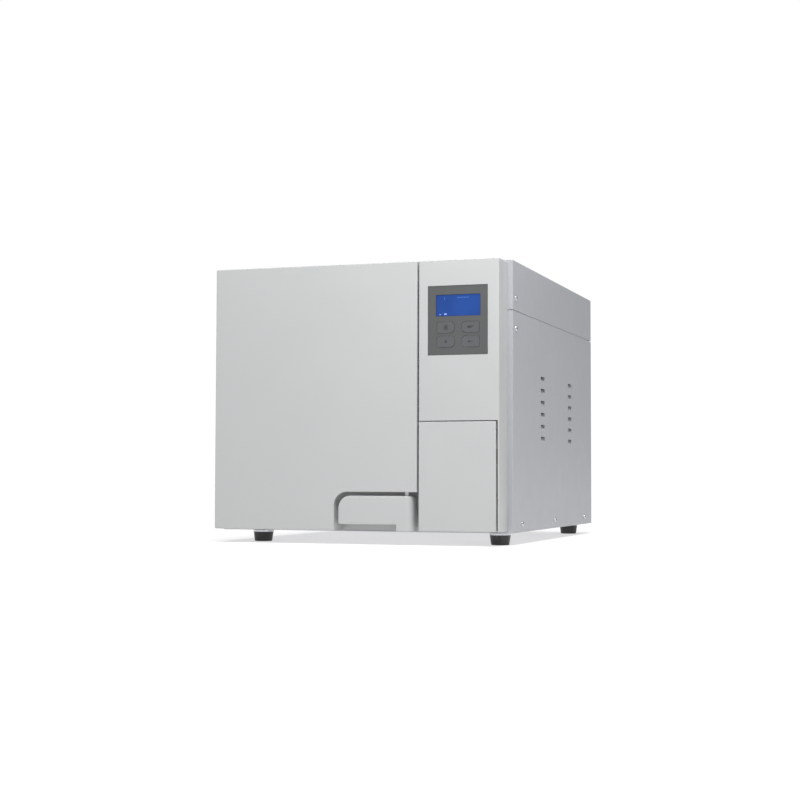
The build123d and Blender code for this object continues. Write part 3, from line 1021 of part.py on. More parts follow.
save(solenoid_valves, "solenoid_valves")

PIPE_RADIUS = 3.0
MANIFOLD_MID = ((MANIFOLD_Y[0] + MANIFOLD_Y[1]) / 2, (MANIFOLD_Z[0] + MANIFOLD_Z[1]) / 2)
PIPE_ROUTES = (
    ((GENERATOR_AT[0], GENERATOR_AT[1], 152), (GENERATOR_AT[0], GENERATOR_AT[1], MANIFOLD_MID[1]),
     (GENERATOR_AT[0], MANIFOLD_Y[0], MANIFOLD_MID[1])),
    ((100, MANIFOLD_MID[0], MANIFOLD_MID[1]), (91, MANIFOLD_MID[0], MANIFOLD_MID[1]),
     (91, 190, MANIFOLD_MID[1]), (PORTS[0][0], 190, MANIFOLD_MID[1]),
     (PORTS[0][0], 190, CHAMBER_Z), (PORTS[0][0], PORT_END, CHAMBER_Z)),
    ((PORTS[1][0], PORT_END, CHAMBER_Z), (PORTS[1][0], 190, CHAMBER_Z), (PORTS[1][0], 190, 262),
     (PORTS[1][0], 208, 262)),
    ((PORTS[2][0], PORT_END, PORTS[2][1]), (PORTS[2][0], 190, PORTS[2][1]),
     (PORTS[2][0], 190, VALVE_AT[1]), (PORTS[2][0], 246, VALVE_AT[1])),
    ((-57, 222, 222), (-45, 222, 222), (-45, 222, 132), (-60, 222, 132), (-60, 222, 120)),
)
with BuildPart() as steam_pipes:
    for route in PIPE_ROUTES:
        with BuildLine() as path:
            FilletPolyline(*route, radius=5.5)
        start = Vector(*route[0])
        along = Vector(*route[1]) - start
        with BuildSketch(Plane(origin=start, z_dir=along)) as section:
            Circle(PIPE_RADIUS)
        sweep(section.sketch, path=path.line)
save(steam_pipes, "steam_pipes")

with BuildPart() as safety_valve:
    with BuildSketch(facing_y(VALVE_AT[0], 246, VALVE_AT[1])):
        RegularPolygon(13, 6)
    extrude(amount=16)
    bar("Y", VALVE_AT, (262, REAR_FACE), 12)
    bar("Y", VALVE_AT, (REAR_FACE, REAR_FACE + 6), 9.0)
    bar("Y", VALVE_AT, (REAR_FACE - 2, REAR_FACE + 7), 3.0, mode=Mode.SUBTRACT)
save(safety_valve, "safety_valve")

with BuildPart() as safety_valve_knob:
    bar("Y", VALVE_AT, (REAR_FACE + 6.3, REAR_FACE + 14), 8.5)
    with BuildSketch(facing_y(VALVE_AT[0], REAR_FACE + 6, VALVE_AT[1])):
        with PolarLocations(8.9, 16):
            Circle(0.9)
    extrude(amount=9, mode=Mode.SUBTRACT)
    bar("Y", VALVE_AT, (REAR_FACE - 1, REAR_FACE + 7), 2.95)
save(safety_valve_knob, "safety_valve_knob")

with BuildPart() as power_inlet:
    block((INLET_AT[0] - 24, INLET_AT[0] + 24), (REAR_FACE - 18, REAR_FACE + SHEET),
          (INLET_AT[1] - 14, INLET_AT[1] + 14))
    with BuildSketch(facing_y(INLET_AT[0], REAR_FACE + SHEET, INLET_AT[1])):
        RectangleRounded(60, 33, 5)
    extrude(amount=3)
    fillet(power_inlet.faces().sort_by(Axis.Y)[-1].outer_wire().edges(), 1.2)
    with BuildSketch(facing_y(INLET_AT[0], REAR_FACE - 15, INLET_AT[1])):
        RectangleRounded(25, 17, 2)
    extrude(amount=25, mode=Mode.SUBTRACT)
    for pin_x, pin_z in ((-7, -2), (7, -2), (0, 3)):
        block((INLET_AT[0] + pin_x - 1, INLET_AT[0] + pin_x + 1), (REAR_FACE - 16, REAR_FACE - 3),
              (INLET_AT[1] + pin_z - 2, INLET_AT[1] + pin_z + 2))
    for side in (-1, 1):
        bar("Y", (INLET_AT[0] + side * 20, INLET_AT[1]), (REAR_FACE, REAR_FACE + 6), 1.8,
            mode=Mode.SUBTRACT)
save(power_inlet, "power_inlet")

with BuildPart() as rear_fittings:
    for barb_x in BARBS_X:
        bar("Y", (barb_x, BARB_Z), (REAR_FACE - 12, REAR_FACE + SHEET), 7.0)
        with BuildSketch(facing_y(barb_x, REAR_FACE + SHEET, BARB_Z)):
            RegularPolygon(9.5, 6)
        extrude(amount=4)
        bar("Y", (barb_x, BARB_Z), (REAR_FACE + 4, REAR_FACE + 17), 3.6)
        for ridge in (9.0, 12.0, 15.0):
            with Locations((barb_x, REAR_FACE + ridge, BARB_Z)):
                Cone(3.6, 4.8, 2.4, rotation=(90, 0, 0))
        bar("Y", (barb_x, BARB_Z), (REAR_FACE - 10, REAR_FACE + 18), 2.2, mode=Mode.SUBTRACT)
save(rear_fittings, "rear_fittings")
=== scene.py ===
"""Looks of the benchtop autoclave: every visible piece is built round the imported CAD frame, in metres."""
import json
import math

import bmesh
import bpy
from mathutils import Matrix, Vector


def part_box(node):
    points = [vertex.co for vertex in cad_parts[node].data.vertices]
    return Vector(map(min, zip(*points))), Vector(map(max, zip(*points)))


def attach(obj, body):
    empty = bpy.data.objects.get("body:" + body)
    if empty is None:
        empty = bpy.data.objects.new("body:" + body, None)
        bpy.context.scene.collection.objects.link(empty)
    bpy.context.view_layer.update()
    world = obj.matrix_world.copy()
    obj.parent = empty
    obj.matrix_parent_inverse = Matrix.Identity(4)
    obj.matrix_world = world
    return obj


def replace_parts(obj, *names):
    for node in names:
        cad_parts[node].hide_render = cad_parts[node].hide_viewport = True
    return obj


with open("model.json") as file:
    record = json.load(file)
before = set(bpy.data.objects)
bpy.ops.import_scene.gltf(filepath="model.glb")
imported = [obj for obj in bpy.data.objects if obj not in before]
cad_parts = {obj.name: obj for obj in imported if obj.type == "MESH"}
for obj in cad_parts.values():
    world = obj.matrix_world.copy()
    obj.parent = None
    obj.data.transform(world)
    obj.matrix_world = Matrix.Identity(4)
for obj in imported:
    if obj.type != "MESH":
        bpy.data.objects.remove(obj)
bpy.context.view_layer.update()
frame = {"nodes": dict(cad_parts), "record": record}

MM = 0.001
NODE_BODY = {n: b for b, nodes in frame["record"]["behaviour"]["bodies"].items() for n in nodes}
NODE_SLOT = {s["node"]: s["material_slot"] for s in frame["record"]["subparts"]}


# ------------------------------------------------------------------------------------------
# Materials
# ------------------------------------------------------------------------------------------
class Shader:
    """A small helper that builds one node material."""

    def __init__(self, name):
        self.material = bpy.data.materials.new(name)
        self.material.use_nodes = True
        self.tree = self.material.node_tree
        self.bsdf = self.tree.nodes["Principled BSDF"]
        self.place = self.tree.nodes.new("ShaderNodeTexCoord").outputs["Object"]

    def link(self, source, target):
        self.tree.links.new(source, target)

    def stretched(self, scale):
        """Object coordinates, scaled differently along each axis."""
        node = self.tree.nodes.new("ShaderNodeMapping")
        node.inputs["Scale"].default_value = scale
        self.link(self.place, node.inputs["Vector"])
        return node.outputs["Vector"]

    def noise(self, scale, detail=3.0, rough=0.5, where=None):
        node = self.tree.nodes.new("ShaderNodeTexNoise")
        node.inputs["Scale"].default_value = scale
        node.inputs["Detail"].default_value = detail
        node.inputs["Roughness"].default_value = rough
        self.link(where or self.place, node.inputs["Vector"])
        return node.outputs["Fac"]

    def ranged(self, value, low, high, start=0.3, end=0.7):
        """A field's own range from start to end, spread over low to high."""
        node = self.tree.nodes.new("ShaderNodeMapRange")
        node.inputs["From Min"].default_value = start
        node.inputs["From Max"].default_value = end
        node.inputs["To Min"].default_value = low
        node.inputs["To Max"].default_value = high
        self.link(value, node.inputs["Value"])
        return node.outputs["Result"]

    def ramp(self, value, stops):
        node = self.tree.nodes.new("ShaderNodeValToRGB")
        ramp = node.color_ramp
        while len(ramp.elements) < len(stops):
            ramp.elements.new(0.5)
        for element, (position, colour) in zip(ramp.elements, stops):
            element.position = position
            element.color = (*colour, 1)
        self.link(value, node.inputs["Fac"])
        return node.outputs["Color"]

    def mottled(self, colour, amount, scale, where=None):
        """Base colour that drifts a little lighter and darker."""
        low = tuple(c * (1 - amount) for c in colour)
        high = tuple(min(1, c * (1 + amount)) for c in colour)
        field = self.noise(scale, 4, 0.55, where)
        self.link(self.ramp(field, ((0.3, low), (0.7, high))), self.bsdf.inputs["Base Color"])

    def bumped(self, height, strength, distance, before=None):
        """Surface relief from a height field, on top of an earlier relief if there is one."""
        node = self.tree.nodes.new("ShaderNodeBump")
        node.inputs["Strength"].default_value = strength
        node.inputs["Distance"].default_value = distance
        self.link(height, node.inputs["Height"])
        if before is not None:
            self.link(before, node.inputs["Normal"])
        self.link(node.outputs["Normal"], self.bsdf.inputs["Normal"])
        return node.outputs["Normal"]

    def set(self, **values):
        """Plain values on the shader's own sockets."""
        for key, value in values.items():
            self.bsdf.inputs[key.replace("_", " ")].default_value = value


def powder_coat(name, colour, rough=0.42):
    """Satin powder coat: broad orange peel with a fine grit on top."""
    s = Shader(name)
    s.mottled(colour, 0.012, 9)
    s.link(s.ranged(s.noise(35, 4), rough - 0.04, rough + 0.05), s.bsdf.inputs["Roughness"])
    peel = s.bumped(s.noise(420, 2, 0.4), 0.10, 0.0006)
    s.bumped(s.noise(1900, 3, 0.6), 0.06, 0.0002, peel)
    s.set(Coat_Weight=0.12, Coat_Roughness=0.3)
    return s.material


def moulded(name, colour, rough=0.36, grain=1500, depth=0.05, coat=0.1, drift=0.012):
    """Moulded plastic: fine spark-eroded grain and faint handling marks."""
    s = Shader(name)
    s.mottled(colour, drift, 7)
    smudges = s.noise(14, 6, 0.65)
    s.link(s.ranged(smudges, rough - 0.05, rough + 0.07), s.bsdf.inputs["Roughness"])
    s.bumped(s.noise(grain, 3, 0.6), depth, 0.0002)
    s.set(Coat_Weight=coat, Coat_Roughness=0.25)
    return s.material


def rubber(name, colour, rough=0.55):
    """Moulded rubber with a dusty bloom."""
    s = Shader(name)
    dusty = tuple(c * 2.2 + 0.012 for c in colour)
    bloom = s.noise(60, 6, 0.7)
    s.link(s.ramp(bloom, ((0.42, colour), (0.8, dusty))), s.bsdf.inputs["Base Color"])
    s.link(s.ranged(s.noise(90, 4), rough - 0.15, rough + 0.1), s.bsdf.inputs["Roughness"])
    s.bumped(s.noise(900, 3, 0.6), 0.18, 0.0003)
    return s.material


ALL_WAYS = (1, 1, 1)


def metal(name, colour, rough, brush, scale, depth=0.05, metallic=1.0):
    """Bare metal; brush stretches the grain, with small numbers along the brushing."""
    s = Shader(name)
    where = s.stretched(brush)
    s.mottled(colour, 0.05, scale, where)
    s.link(s.ranged(s.noise(scale * 1.7, 6, 0.6, where), rough - 0.09, rough + 0.12),
           s.bsdf.inputs["Roughness"])
    s.bumped(s.noise(scale * 6, 5, 0.7, where), depth, 0.0002)
    s.set(Metallic=metallic)
    return s.material


CLOTH_PITCH = 0.0016
WAVES_PER_SCALE = 0.314     # a wave texture of scale 1 repeats every 0.314 m


def woven(name, colour):
    """Woven glass cloth: two crossed wave fields."""
    s = Shader(name)
    s.mottled(colour, 0.07, 40)
    fields = []
    for direction in ("X", "Z"):
        wave = s.tree.nodes.new("ShaderNodeTexWave")
        wave.bands_direction = direction
        wave.inputs["Scale"].default_value = WAVES_PER_SCALE / CLOTH_PITCH
        wave.inputs["Distortion"].default_value = 0.6
        s.link(s.place, wave.inputs["Vector"])
        fields.append(wave.outputs["Fac"])
    both = s.tree.nodes.new("ShaderNodeMath")
    both.operation = "MULTIPLY"
    s.link(fields[0], both.inputs[0])
    s.link(fields[1], both.inputs[1])
    s.bumped(both.outputs["Value"], 0.5, 0.0004)
    s.set(Roughness=0.85)
    return s.material


def translucent_plastic(name, colour):
    """Natural polypropylene: milky, with faint flow marks."""
    s = Shader(name)
    s.mottled(colour, 0.03, 12, s.stretched((1, 1, 4)))
    s.link(s.ranged(s.noise(30, 5), 0.28, 0.42), s.bsdf.inputs["Roughness"])
    s.bumped(s.noise(500, 3), 0.05, 0.0003)
    s.set(Subsurface_Weight=0.25, Subsurface_Scale=0.01)
    return s.material


def circuit_board(name):
    """Green solder mask with fine copper tracks under it."""
    s = Shader(name)
    brick = s.tree.nodes.new("ShaderNodeTexBrick")
    brick.inputs["Scale"].default_value = 90
    brick.inputs["Mortar Size"].default_value = 0.03
    brick.inputs["Color1"].default_value = (0.012, 0.13, 0.05, 1)
    brick.inputs["Color2"].default_value = (0.016, 0.16, 0.06, 1)
    brick.inputs["Mortar"].default_value = (0.05, 0.26, 0.11, 1)
    s.link(s.place, brick.inputs["Vector"])
    s.link(brick.outputs["Color"], s.bsdf.inputs["Base Color"])
    s.link(s.ranged(s.noise(200, 3), 0.3, 0.5), s.bsdf.inputs["Roughness"])
    s.bumped(brick.outputs["Fac"], 0.2, 0.0001)
    return s.material


def display(name):
    """Backlit blue display under a clear pane, lit a little unevenly."""
    s = Shader(name)
    dim, bright = (0.008, 0.043, 0.21), (0.012, 0.058, 0.265)
    tint = s.ramp(s.noise(22, 2, 0.4), ((0.3, dim), (0.7, bright)))
    s.link(tint, s.bsdf.inputs["Base Color"])
    s.link(tint, s.bsdf.inputs["Emission Color"])
    s.link(s.ranged(s.noise(60, 3), 0.14, 0.2), s.bsdf.inputs["Roughness"])
    s.set(Emission_Strength=0.12, Coat_Weight=0.5, Coat_Roughness=0.08)
    return s.material


MATERIALS = {
    "painted_sheet": powder_coat("painted_sheet", (0.425, 0.435, 0.46)),
    "white_plastic": moulded("white_plastic", (0.50, 0.505, 0.505)),
    "inner_plastic": moulded("inner_plastic", (0.47, 0.475, 0.48), 0.5, 1100, 0.09, 0.0),
    "grey_plastic": moulded("grey_plastic", (0.090, 0.092, 0.092), 0.45, 1300, 0.1, 0.0, 0.04),
    "key_plastic": moulded("key_plastic", (0.098, 0.101, 0.106), 0.4, 1300, 0.08, 0.05, 0.04),
    "lcd_blue": display("lcd_blue"),
    "circuit_board": circuit_board("circuit_board"),
    "foot_rubber": rubber("foot_rubber", (0.012, 0.012, 0.013), 0.42),
    "fastener_steel": metal("fastener_steel", (0.62, 0.63, 0.65), 0.28, ALL_WAYS, 120),
    "stainless": metal("stainless", (0.60, 0.60, 0.60), 0.36, (6, 0.6, 6), 70, 0.06, 0.82),
    "steel_parts": metal("steel_parts", (0.45, 0.46, 0.47), 0.38, ALL_WAYS, 45),
    "silicone": rubber("silicone", (0.27, 0.275, 0.26), 0.45),
    "heater_mat": rubber("heater_mat", (0.26, 0.065, 0.02), 0.6),
    "insulation": woven("insulation", (0.72, 0.70, 0.64)),
    "tank_plastic": translucent_plastic("tank_plastic", (0.78, 0.81, 0.84)),
    "pump_aluminium": metal("pump_aluminium", (0.60, 0.61, 0.62), 0.42, ALL_WAYS, 90, 0.2),
    "black_plastic": moulded("black_plastic", (0.022, 0.022, 0.024), 0.4, 900, 0.12, 0.0, 0.15),
    "rocker_plastic": moulded("rocker_plastic", (0.02, 0.30, 0.09), 0.22, 900, 0.03, 0.2),
    "filter_plastic": moulded("filter_plastic", (0.62, 0.74, 0.84), 0.18, 700, 0.03, 0.3),
    "blue_knob": moulded("blue_knob", (0.03, 0.13, 0.47), 0.35, 900, 0.06),
    "red_knob": moulded("red_knob", (0.5, 0.03, 0.025), 0.35, 900, 0.06),
    "brass_parts": metal("brass_parts", (0.72, 0.53, 0.24), 0.25, ALL_WAYS, 80),
    "copper_pipe": metal("copper_pipe", (0.74, 0.40, 0.25), 0.26, ALL_WAYS, 60),
    "valve_knob": metal("valve_knob", (0.66, 0.66, 0.68), 0.25, ALL_WAYS, 120),
}
INK = moulded("key_ink", (0.035, 0.035, 0.037), 0.6, 900, 0.02, 0.0)
LCD_MARK = moulded("lcd_mark", (0.07, 0.19, 0.58), 0.3, 900, 0.0, 0.3)
LCD_LAMP = moulded("lcd_lamp", (0.3, 0.42, 0.95), 0.3, 900, 0.0, 0.3)


# ------------------------------------------------------------------------------------------
# Mesh helpers
# ------------------------------------------------------------------------------------------
SMOOTH_BELOW = math.radians(32)
BEVEL_ABOVE = math.radians(38)
FLAT_BELOW = math.radians(0.6)
BEVEL_SEGMENTS = 2
MERGE = 0.004               # millimetres between points that are one point
SLIVER = 0.002              # millimetres, the shortest edge that is kept


def shade_by_angle(bm):
    """Smooth faces, with a sharp edge wherever two of them meet at more than SMOOTH_BELOW."""
    for face in bm.faces:
        face.smooth = True
    for edge in bm.edges:
        faces = edge.link_faces
        edge.smooth = len(faces) == 2 and faces[0].normal.angle(faces[1].normal, 0) < SMOOTH_BELOW


def new_piece(name, bm, material, body):
    """An object made of a filled mesh, riding on a body."""
    mesh = bpy.data.meshes.new(name)
    bm.to_mesh(mesh)
    bm.free()
    piece = bpy.data.objects.new(name, mesh)
    bpy.context.scene.collection.objects.link(piece)
    mesh.materials.append(material)
    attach(piece, body)
    return piece


def apply_modifiers(piece):
    """Bakes a piece's modifiers into its mesh."""
    graph = bpy.context.evaluated_depsgraph_get()
    mesh = bpy.data.meshes.new_from_object(piece.evaluated_get(graph))
    piece.modifiers.clear()
    piece.data = mesh


def soften(piece, edge):
    """Rounds the sharp edges of a piece and bakes the result into its mesh."""
    bevel = piece.modifiers.new("edge", "BEVEL")
    bevel.width = edge * MM
    bevel.segments = BEVEL_SEGMENTS
    bevel.limit_method = "ANGLE"
    bevel.angle_limit = BEVEL_ABOVE
    bevel.harden_normals = True
    bevel.use_clamp_overlap = True
    apply_modifiers(piece)


def rebuilt(node, edge):
    """The same piece made anew: seams merged, flats joined into whole faces, edges softly rounded."""
    bm = bmesh.new()
    bm.from_mesh(frame["nodes"][node].data)
    bmesh.ops.remove_doubles(bm, verts=bm.verts, dist=MERGE * MM)
    bmesh.ops.dissolve_degenerate(bm, dist=SLIVER * MM, edges=bm.edges)
    bmesh.ops.dissolve_limit(bm, angle_limit=FLAT_BELOW, verts=bm.verts, edges=bm.edges)
    bmesh.ops.recalc_face_normals(bm, faces=bm.faces)
    shade_by_angle(bm)
    slot = NODE_SLOT[node]
    piece = new_piece(node + "_skin", bm, MATERIALS[slot], NODE_BODY[node])
    if edge:
        soften(piece, edge)
    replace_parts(piece, node)
    return piece


# ------------------------------------------------------------------------------------------
# Camera, floor and light
# ------------------------------------------------------------------------------------------
CAMERA_AT = Vector((0.767, -2.320, 0.096))
YAW = math.radians(-18.92)
PITCH = math.radians(2.87)
ROLL = math.radians(0.15)
LENS = 68.76
SENSOR = 36
CLIP = (0.01, 50)
FLOOR_REACH = 60.0
FLOOR_GREY = 0.42
FLOOR_GLOW = 0.56
ROOM_TINT = (0.96, 0.98, 1.0, 1)
ROOM_LIGHT = 0.30
BACKDROP = 1.02             # the room's brightness where the camera sees it directly
OVERHEAD = 2.6
OVERHEAD_SPREAD = math.radians(25)
OVERHEAD_AT = (0, 0, 3)
OVERHEAD_TOWARDS = (0, 0.15, 0)
# each softbox: place, what it points at, size and watts
SOFTBOXES = {
    "softbox": ((0.45, -1.15, 1.6), (0.1, -0.29, 0.4), (0.8, 0.6), 15.5),
    "near_softbox": ((0.42, -0.62, 0.85), (0.17, -0.29, 0.38), (0.3, 0.2), 1.8),
}


def make_camera():
    """The photograph's viewpoint, fitted to the edges of the case."""
    ahead = Vector((math.sin(YAW) * math.cos(PITCH), math.cos(YAW) * math.cos(PITCH), math.sin(PITCH)))
    right = Vector((math.cos(YAW), -math.sin(YAW), 0))
    up = right.cross(ahead)
    turn = Matrix((right, up, -ahead)).transposed() @ Matrix.Rotation(ROLL, 3, "Z")
    data = bpy.data.cameras.new("camera")
    data.lens = LENS
    data.sensor_width = SENSOR
    data.clip_start, data.clip_end = CLIP
    camera = bpy.data.objects.new("camera", data)
    bpy.context.scene.collection.objects.link(camera)
    camera.matrix_world = Matrix.Translation(CAMERA_AT) @ turn.to_4x4()
    bpy.context.scene.camera = camera


def make_floor():
    """One wide pale floor that runs out to the horizon; its faint glow keeps the shadow pale."""
    bm = bmesh.new()
    corners = ((-1, -1), (1, -1), (1, 1), (-1, 1))
    bm.faces.new([bm.verts.new((x * FLOOR_REACH, y * FLOOR_REACH, 0)) for x, y in corners])
    mesh = bpy.data.meshes.new("floor")
    bm.to_mesh(mesh)
    bm.free()
    floor = bpy.data.objects.new("floor", mesh)
    bpy.context.scene.collection.objects.link(floor)
    s = Shader("floor")
    s.mottled((FLOOR_GREY, FLOOR_GREY, FLOOR_GREY), 0.004, 3)
    s.set(Roughness=0.8, Specular_IOR_Level=0.2)
    s.set(Emission_Color=(1, 1, 1, 1), Emission_Strength=FLOOR_GLOW)
    mesh.materials.append(s.material)


def aim(thing, at, towards):
    """Puts a thing in its place with its local -Z towards a point."""
    thing.location = at
    thing.rotation_mode = "QUATERNION"
    thing.rotation_quaternion = (Vector(towards) - Vector(at)).to_track_quat("-Z", "Y")


def area_light(name, at, towards, size, watts):
    data = bpy.data.lights.new(name, "AREA")
    data.shape = "RECTANGLE"
    data.size, data.size_y = size
    data.energy = watts
    light = bpy.data.objects.new(name, data)
    light.visible_camera = False
    bpy.context.scene.collection.objects.link(light)
    aim(light, at, towards)


def overhead_light():
    """Broad light from above that leans a little to the back, so that the front catches some of it."""
    data = bpy.data.lights.new("overhead", "SUN")
    data.energy = OVERHEAD
    data.angle = OVERHEAD_SPREAD
    light = bpy.data.objects.new("overhead", data)
    bpy.context.scene.collection.objects.link(light)
    aim(light, OVERHEAD_AT, OVERHEAD_TOWARDS)


def make_light():
    """Soft studio light: a pale room, a broad overhead light and two softboxes at the front."""
    world = bpy.data.worlds.new("world")
    bpy.context.scene.world = world
    world.use_nodes = True
    nodes = world.node_tree.nodes
    link = world.node_tree.links.new
    room = nodes["Background"]
    room.inputs["Color"].default_value = ROOM_TINT
    room.inputs["Strength"].default_value = ROOM_LIGHT
    seen = nodes.new("ShaderNodeBackground")
    seen.inputs["Color"].default_value = (1, 1, 1, 1)
    seen.inputs["Strength"].default_value = BACKDROP
    mix = nodes.new("ShaderNodeMixShader")
    link(nodes.new("ShaderNodeLightPath").outputs["Is Camera Ray"], mix.inputs["Fac"])
    link(room.outputs["Background"], mix.inputs[1])
    link(seen.outputs["Background"], mix.inputs[2])
    link(mix.outputs["Shader"], nodes["World Output"].inputs["Surface"])
    for name, (at, towards, size, watts) in SOFTBOXES.items():
        area_light(name, at, towards, size, watts)
    overhead_light()
    bpy.context.scene.view_settings.view_transform = "Standard"


make_camera()
make_floor()
make_light()


# ------------------------------------------------------------------------------------------
# Shapes made from points
# ------------------------------------------------------------------------------------------
def facing(axis):
    """Rotation that turns local Z to an outward direction."""
    return Vector(axis).to_track_quat("Z", "Y").to_matrix()


def prism(bm, outline, at, axis, low, high):
    """A closed prism: the outline's two coordinates lie across the axis, in millimetres."""
    turn = facing(axis)
    centre = Vector(at) * MM
    rings = []
    for level in (low, high):
        rings.append([bm.verts.new(centre + turn @ Vector((u, v, level)) * MM) for u, v in outline])
    bm.faces.new(list(reversed(rings[0])))
    bm.faces.new(rings[1])
    count = len(outline)
    for i in range(count):
        j = (i + 1) % count
        bm.faces.new((rings[0][i], rings[0][j], rings[1][j], rings[1][i]))


def turned(bm, profile, at, axis, steps=32):
    """A turned solid; the profile runs from the axis round to the axis as (radius, height)."""
    turn = facing(axis)
    centre = Vector(at) * MM
    rings = []
    for radius, height in profile:
        if radius == 0:
            rings.append([bm.verts.new(centre + turn @ Vector((0, 0, height)) * MM)])
            continue
        ring = []
        for i in range(steps):
            angle = 2 * math.pi * i / steps
            spot = Vector((radius * math.cos(angle), radius * math.sin(angle), height))
            ring.append(bm.verts.new(centre + turn @ spot * MM))
        rings.append(ring)
    for a, b in zip(rings, rings[1:]):
        for i in range(steps):
            j = (i + 1) % steps
            corners = [a[i % len(a)], a[j % len(a)], b[j % len(b)], b[i % len(b)]]
            bm.faces.new(list(dict.fromkeys(corners)))


def loop(bm, section, at, axis, steps=96):
    """A closed ring: the section's points are (radius, height) round its own outline."""
    turn = facing(axis)
    centre = Vector(at) * MM
    rings = []
    for i in range(steps):
        angle = 2 * math.pi * i / steps
        across = Vector((math.cos(angle), math.sin(angle), 0))
        spots = [across * radius + Vector((0, 0, height)) for radius, height in section]
        rings.append([bm.verts.new(centre + turn @ spot * MM) for spot in spots])
    for i, ring in enumerate(rings):
        after = rings[(i + 1) % steps]
        count = len(section)
        for k in range(count):
            n = (k + 1) % count
            bm.faces.new((ring[k], ring[n], after[n], after[k]))


def ring_points(radius, turns, centre=(0, 0)):
    """Points on a circle at the given angles, in radians."""
    return [(centre[0] + radius * math.cos(t), centre[1] + radius * math.sin(t)) for t in turns]


def circle(radius, count=28, centre=(0, 0)):
    return ring_points(radius, [2 * math.pi * i / count for i in range(count)], centre)


def rectangle(width, height, centre=(0, 0)):
    w, h = width / 2, height / 2
    return [(centre[0] + x, centre[1] + y) for x, y in ((-w, -h), (w, -h), (w, h), (-w, h))]


CORNER_STEPS = 5


def rounded(width, height, radius, centre=(0, 0)):
    """A rectangle with round corners."""
    points = []
    for quarter, (sx, sy) in enumerate(((1, 1), (-1, 1), (-1, -1), (1, -1))):
        corner = (centre[0] + sx * (width / 2 - radius), centre[1] + sy * (height / 2 - radius))
        turns = [math.pi / 2 * (quarter + i / CORNER_STEPS) for i in range(CORNER_STEPS + 1)]
        points += ring_points(radius, turns, corner)
    return points


def cross_outline(width, reach):
    """The outline of a cross recess; reach is from the end of one arm to the end of the opposite one."""
    w, r = width / 2, reach / 2
    return [(w, w), (w, r), (-w, r), (-w, w), (-r, w), (-r, -w),
            (-w, -w), (-w, -r), (w, -r), (w, -w), (r, -w), (r, w)]


def made(name, build, material, body, edge=0.0):
    """A new piece: build fills the mesh, then its sharp edges are rounded."""
    bm = bmesh.new()
    build(bm)
    bmesh.ops.recalc_face_normals(bm, faces=bm.faces)
    shade_by_angle(bm)
    piece = new_piece(name, bm, material, body)
    if edge:
        soften(piece, edge)
    return piece


def cut(piece, build):
    """Takes the shape that build makes out of a piece."""
    bm = bmesh.new()
    build(bm)
    bmesh.ops.recalc_face_normals(bm, faces=bm.faces)
    mesh = bpy.data.meshes.new("cutter")
    bm.to_mesh(mesh)
    bm.free()
    tool = bpy.data.objects.new("cutter", mesh)
    bpy.context.scene.collection.objects.link(tool)
    modifier = piece.modifiers.new("cut", "BOOLEAN")
    modifier.operation = "DIFFERENCE"
    modifier.solver = "EXACT"
    modifier.object = tool
    apply_modifiers(piece)
    bpy.data.objects.remove(tool)
    bm = bmesh.new()
    bm.from_mesh(piece.data)
    shade_by_angle(bm)
    bm.to_mesh(piece.data)
    bm.free()


# ------------------------------------------------------------------------------------------
# Pieces carried over from the CAD with rounded edges
# ------------------------------------------------------------------------------------------
# how wide each piece's edges are rounded, in millimetres; 0 leaves them sharp
SOFT_EDGES = {
    "door_cover": 0.5, "control_fascia": 0.4, "service_door": 0.5, "handle": 0.8,
    "top_cover": 0.25, "left_side_panel": 0.25, "right_side_panel": 0.25, "rear_panel": 0.25,
    "keypad_bezel": 0.2, "service_tray": 0.5, "door_liner": 0.4, "feet": 0.4,
    "tank_lid": 0.4, "tank_fill_frame": 0.4, "base_pan": 0.2, "front_frame": 0.3,
    "hinge_bracket": 0.5, "hinge_pin": 0.4, "door_beam": 0.6, "door_pressure_plate": 0.5,
    "pressure_chamber": 0.4, "tray_rack": 0.2, "trays": 0.25, "lock_hook": 0.6,
    "hook_bracket": 0.4, "power_inlet": 0.3, "rear_fittings": 0.2, "safety_valve": 0.3,
    "safety_valve_knob": 0.3, "drain_valves": 0.2, "fresh_drain_knob": 0.4,
    "waste_drain_knob": 0.4, "air_filter": 0.3, "switch_housing": 0.3, "power_rocker": 0.3,
    "lcd_module": 0.15, "door_gasket": 0.4, "fan_frame": 0.4, "fan_rotor": 0.2,
    "lock_keeper": 0.3, "lock_bolt": 0.2, "foot_bolts": 0.25,
    "key_select": 0.9, "key_start": 0.9, "key_down": 0.9, "key_enter": 0.9, "water_tank": 0.6,
    "lock_solenoid": 0.3, "steam_generator": 0.3, "vacuum_pump": 0.4, "water_pump": 0.4,
    "condenser": 0.1, "solenoid_valves": 0.4, "steam_pipes": 0.0, "main_board": 0.2,
    "keypad_board": 0.15, "insulation_jacket": 0.4, "band_heaters": 0.2, "chamber_cradle": 0.3,
}
skins = {node: rebuilt(node, width) for node, width in SOFT_EDGES.items()}


# ------------------------------------------------------------------------------------------
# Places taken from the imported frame, in millimetres
# ------------------------------------------------------------------------------------------
BOXES = {node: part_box(node) for node in frame["nodes"]}


def low(node, axis):
    """Where a node's box begins along an axis."""
    return BOXES[node][0][axis] / MM


def high(node, axis):
    """Where a node's box ends along an axis."""
    return BOXES[node][1][axis] / MM


def middle(node):
    return [(a + b) / 2 / MM for a, b in zip(*BOXES[node])]


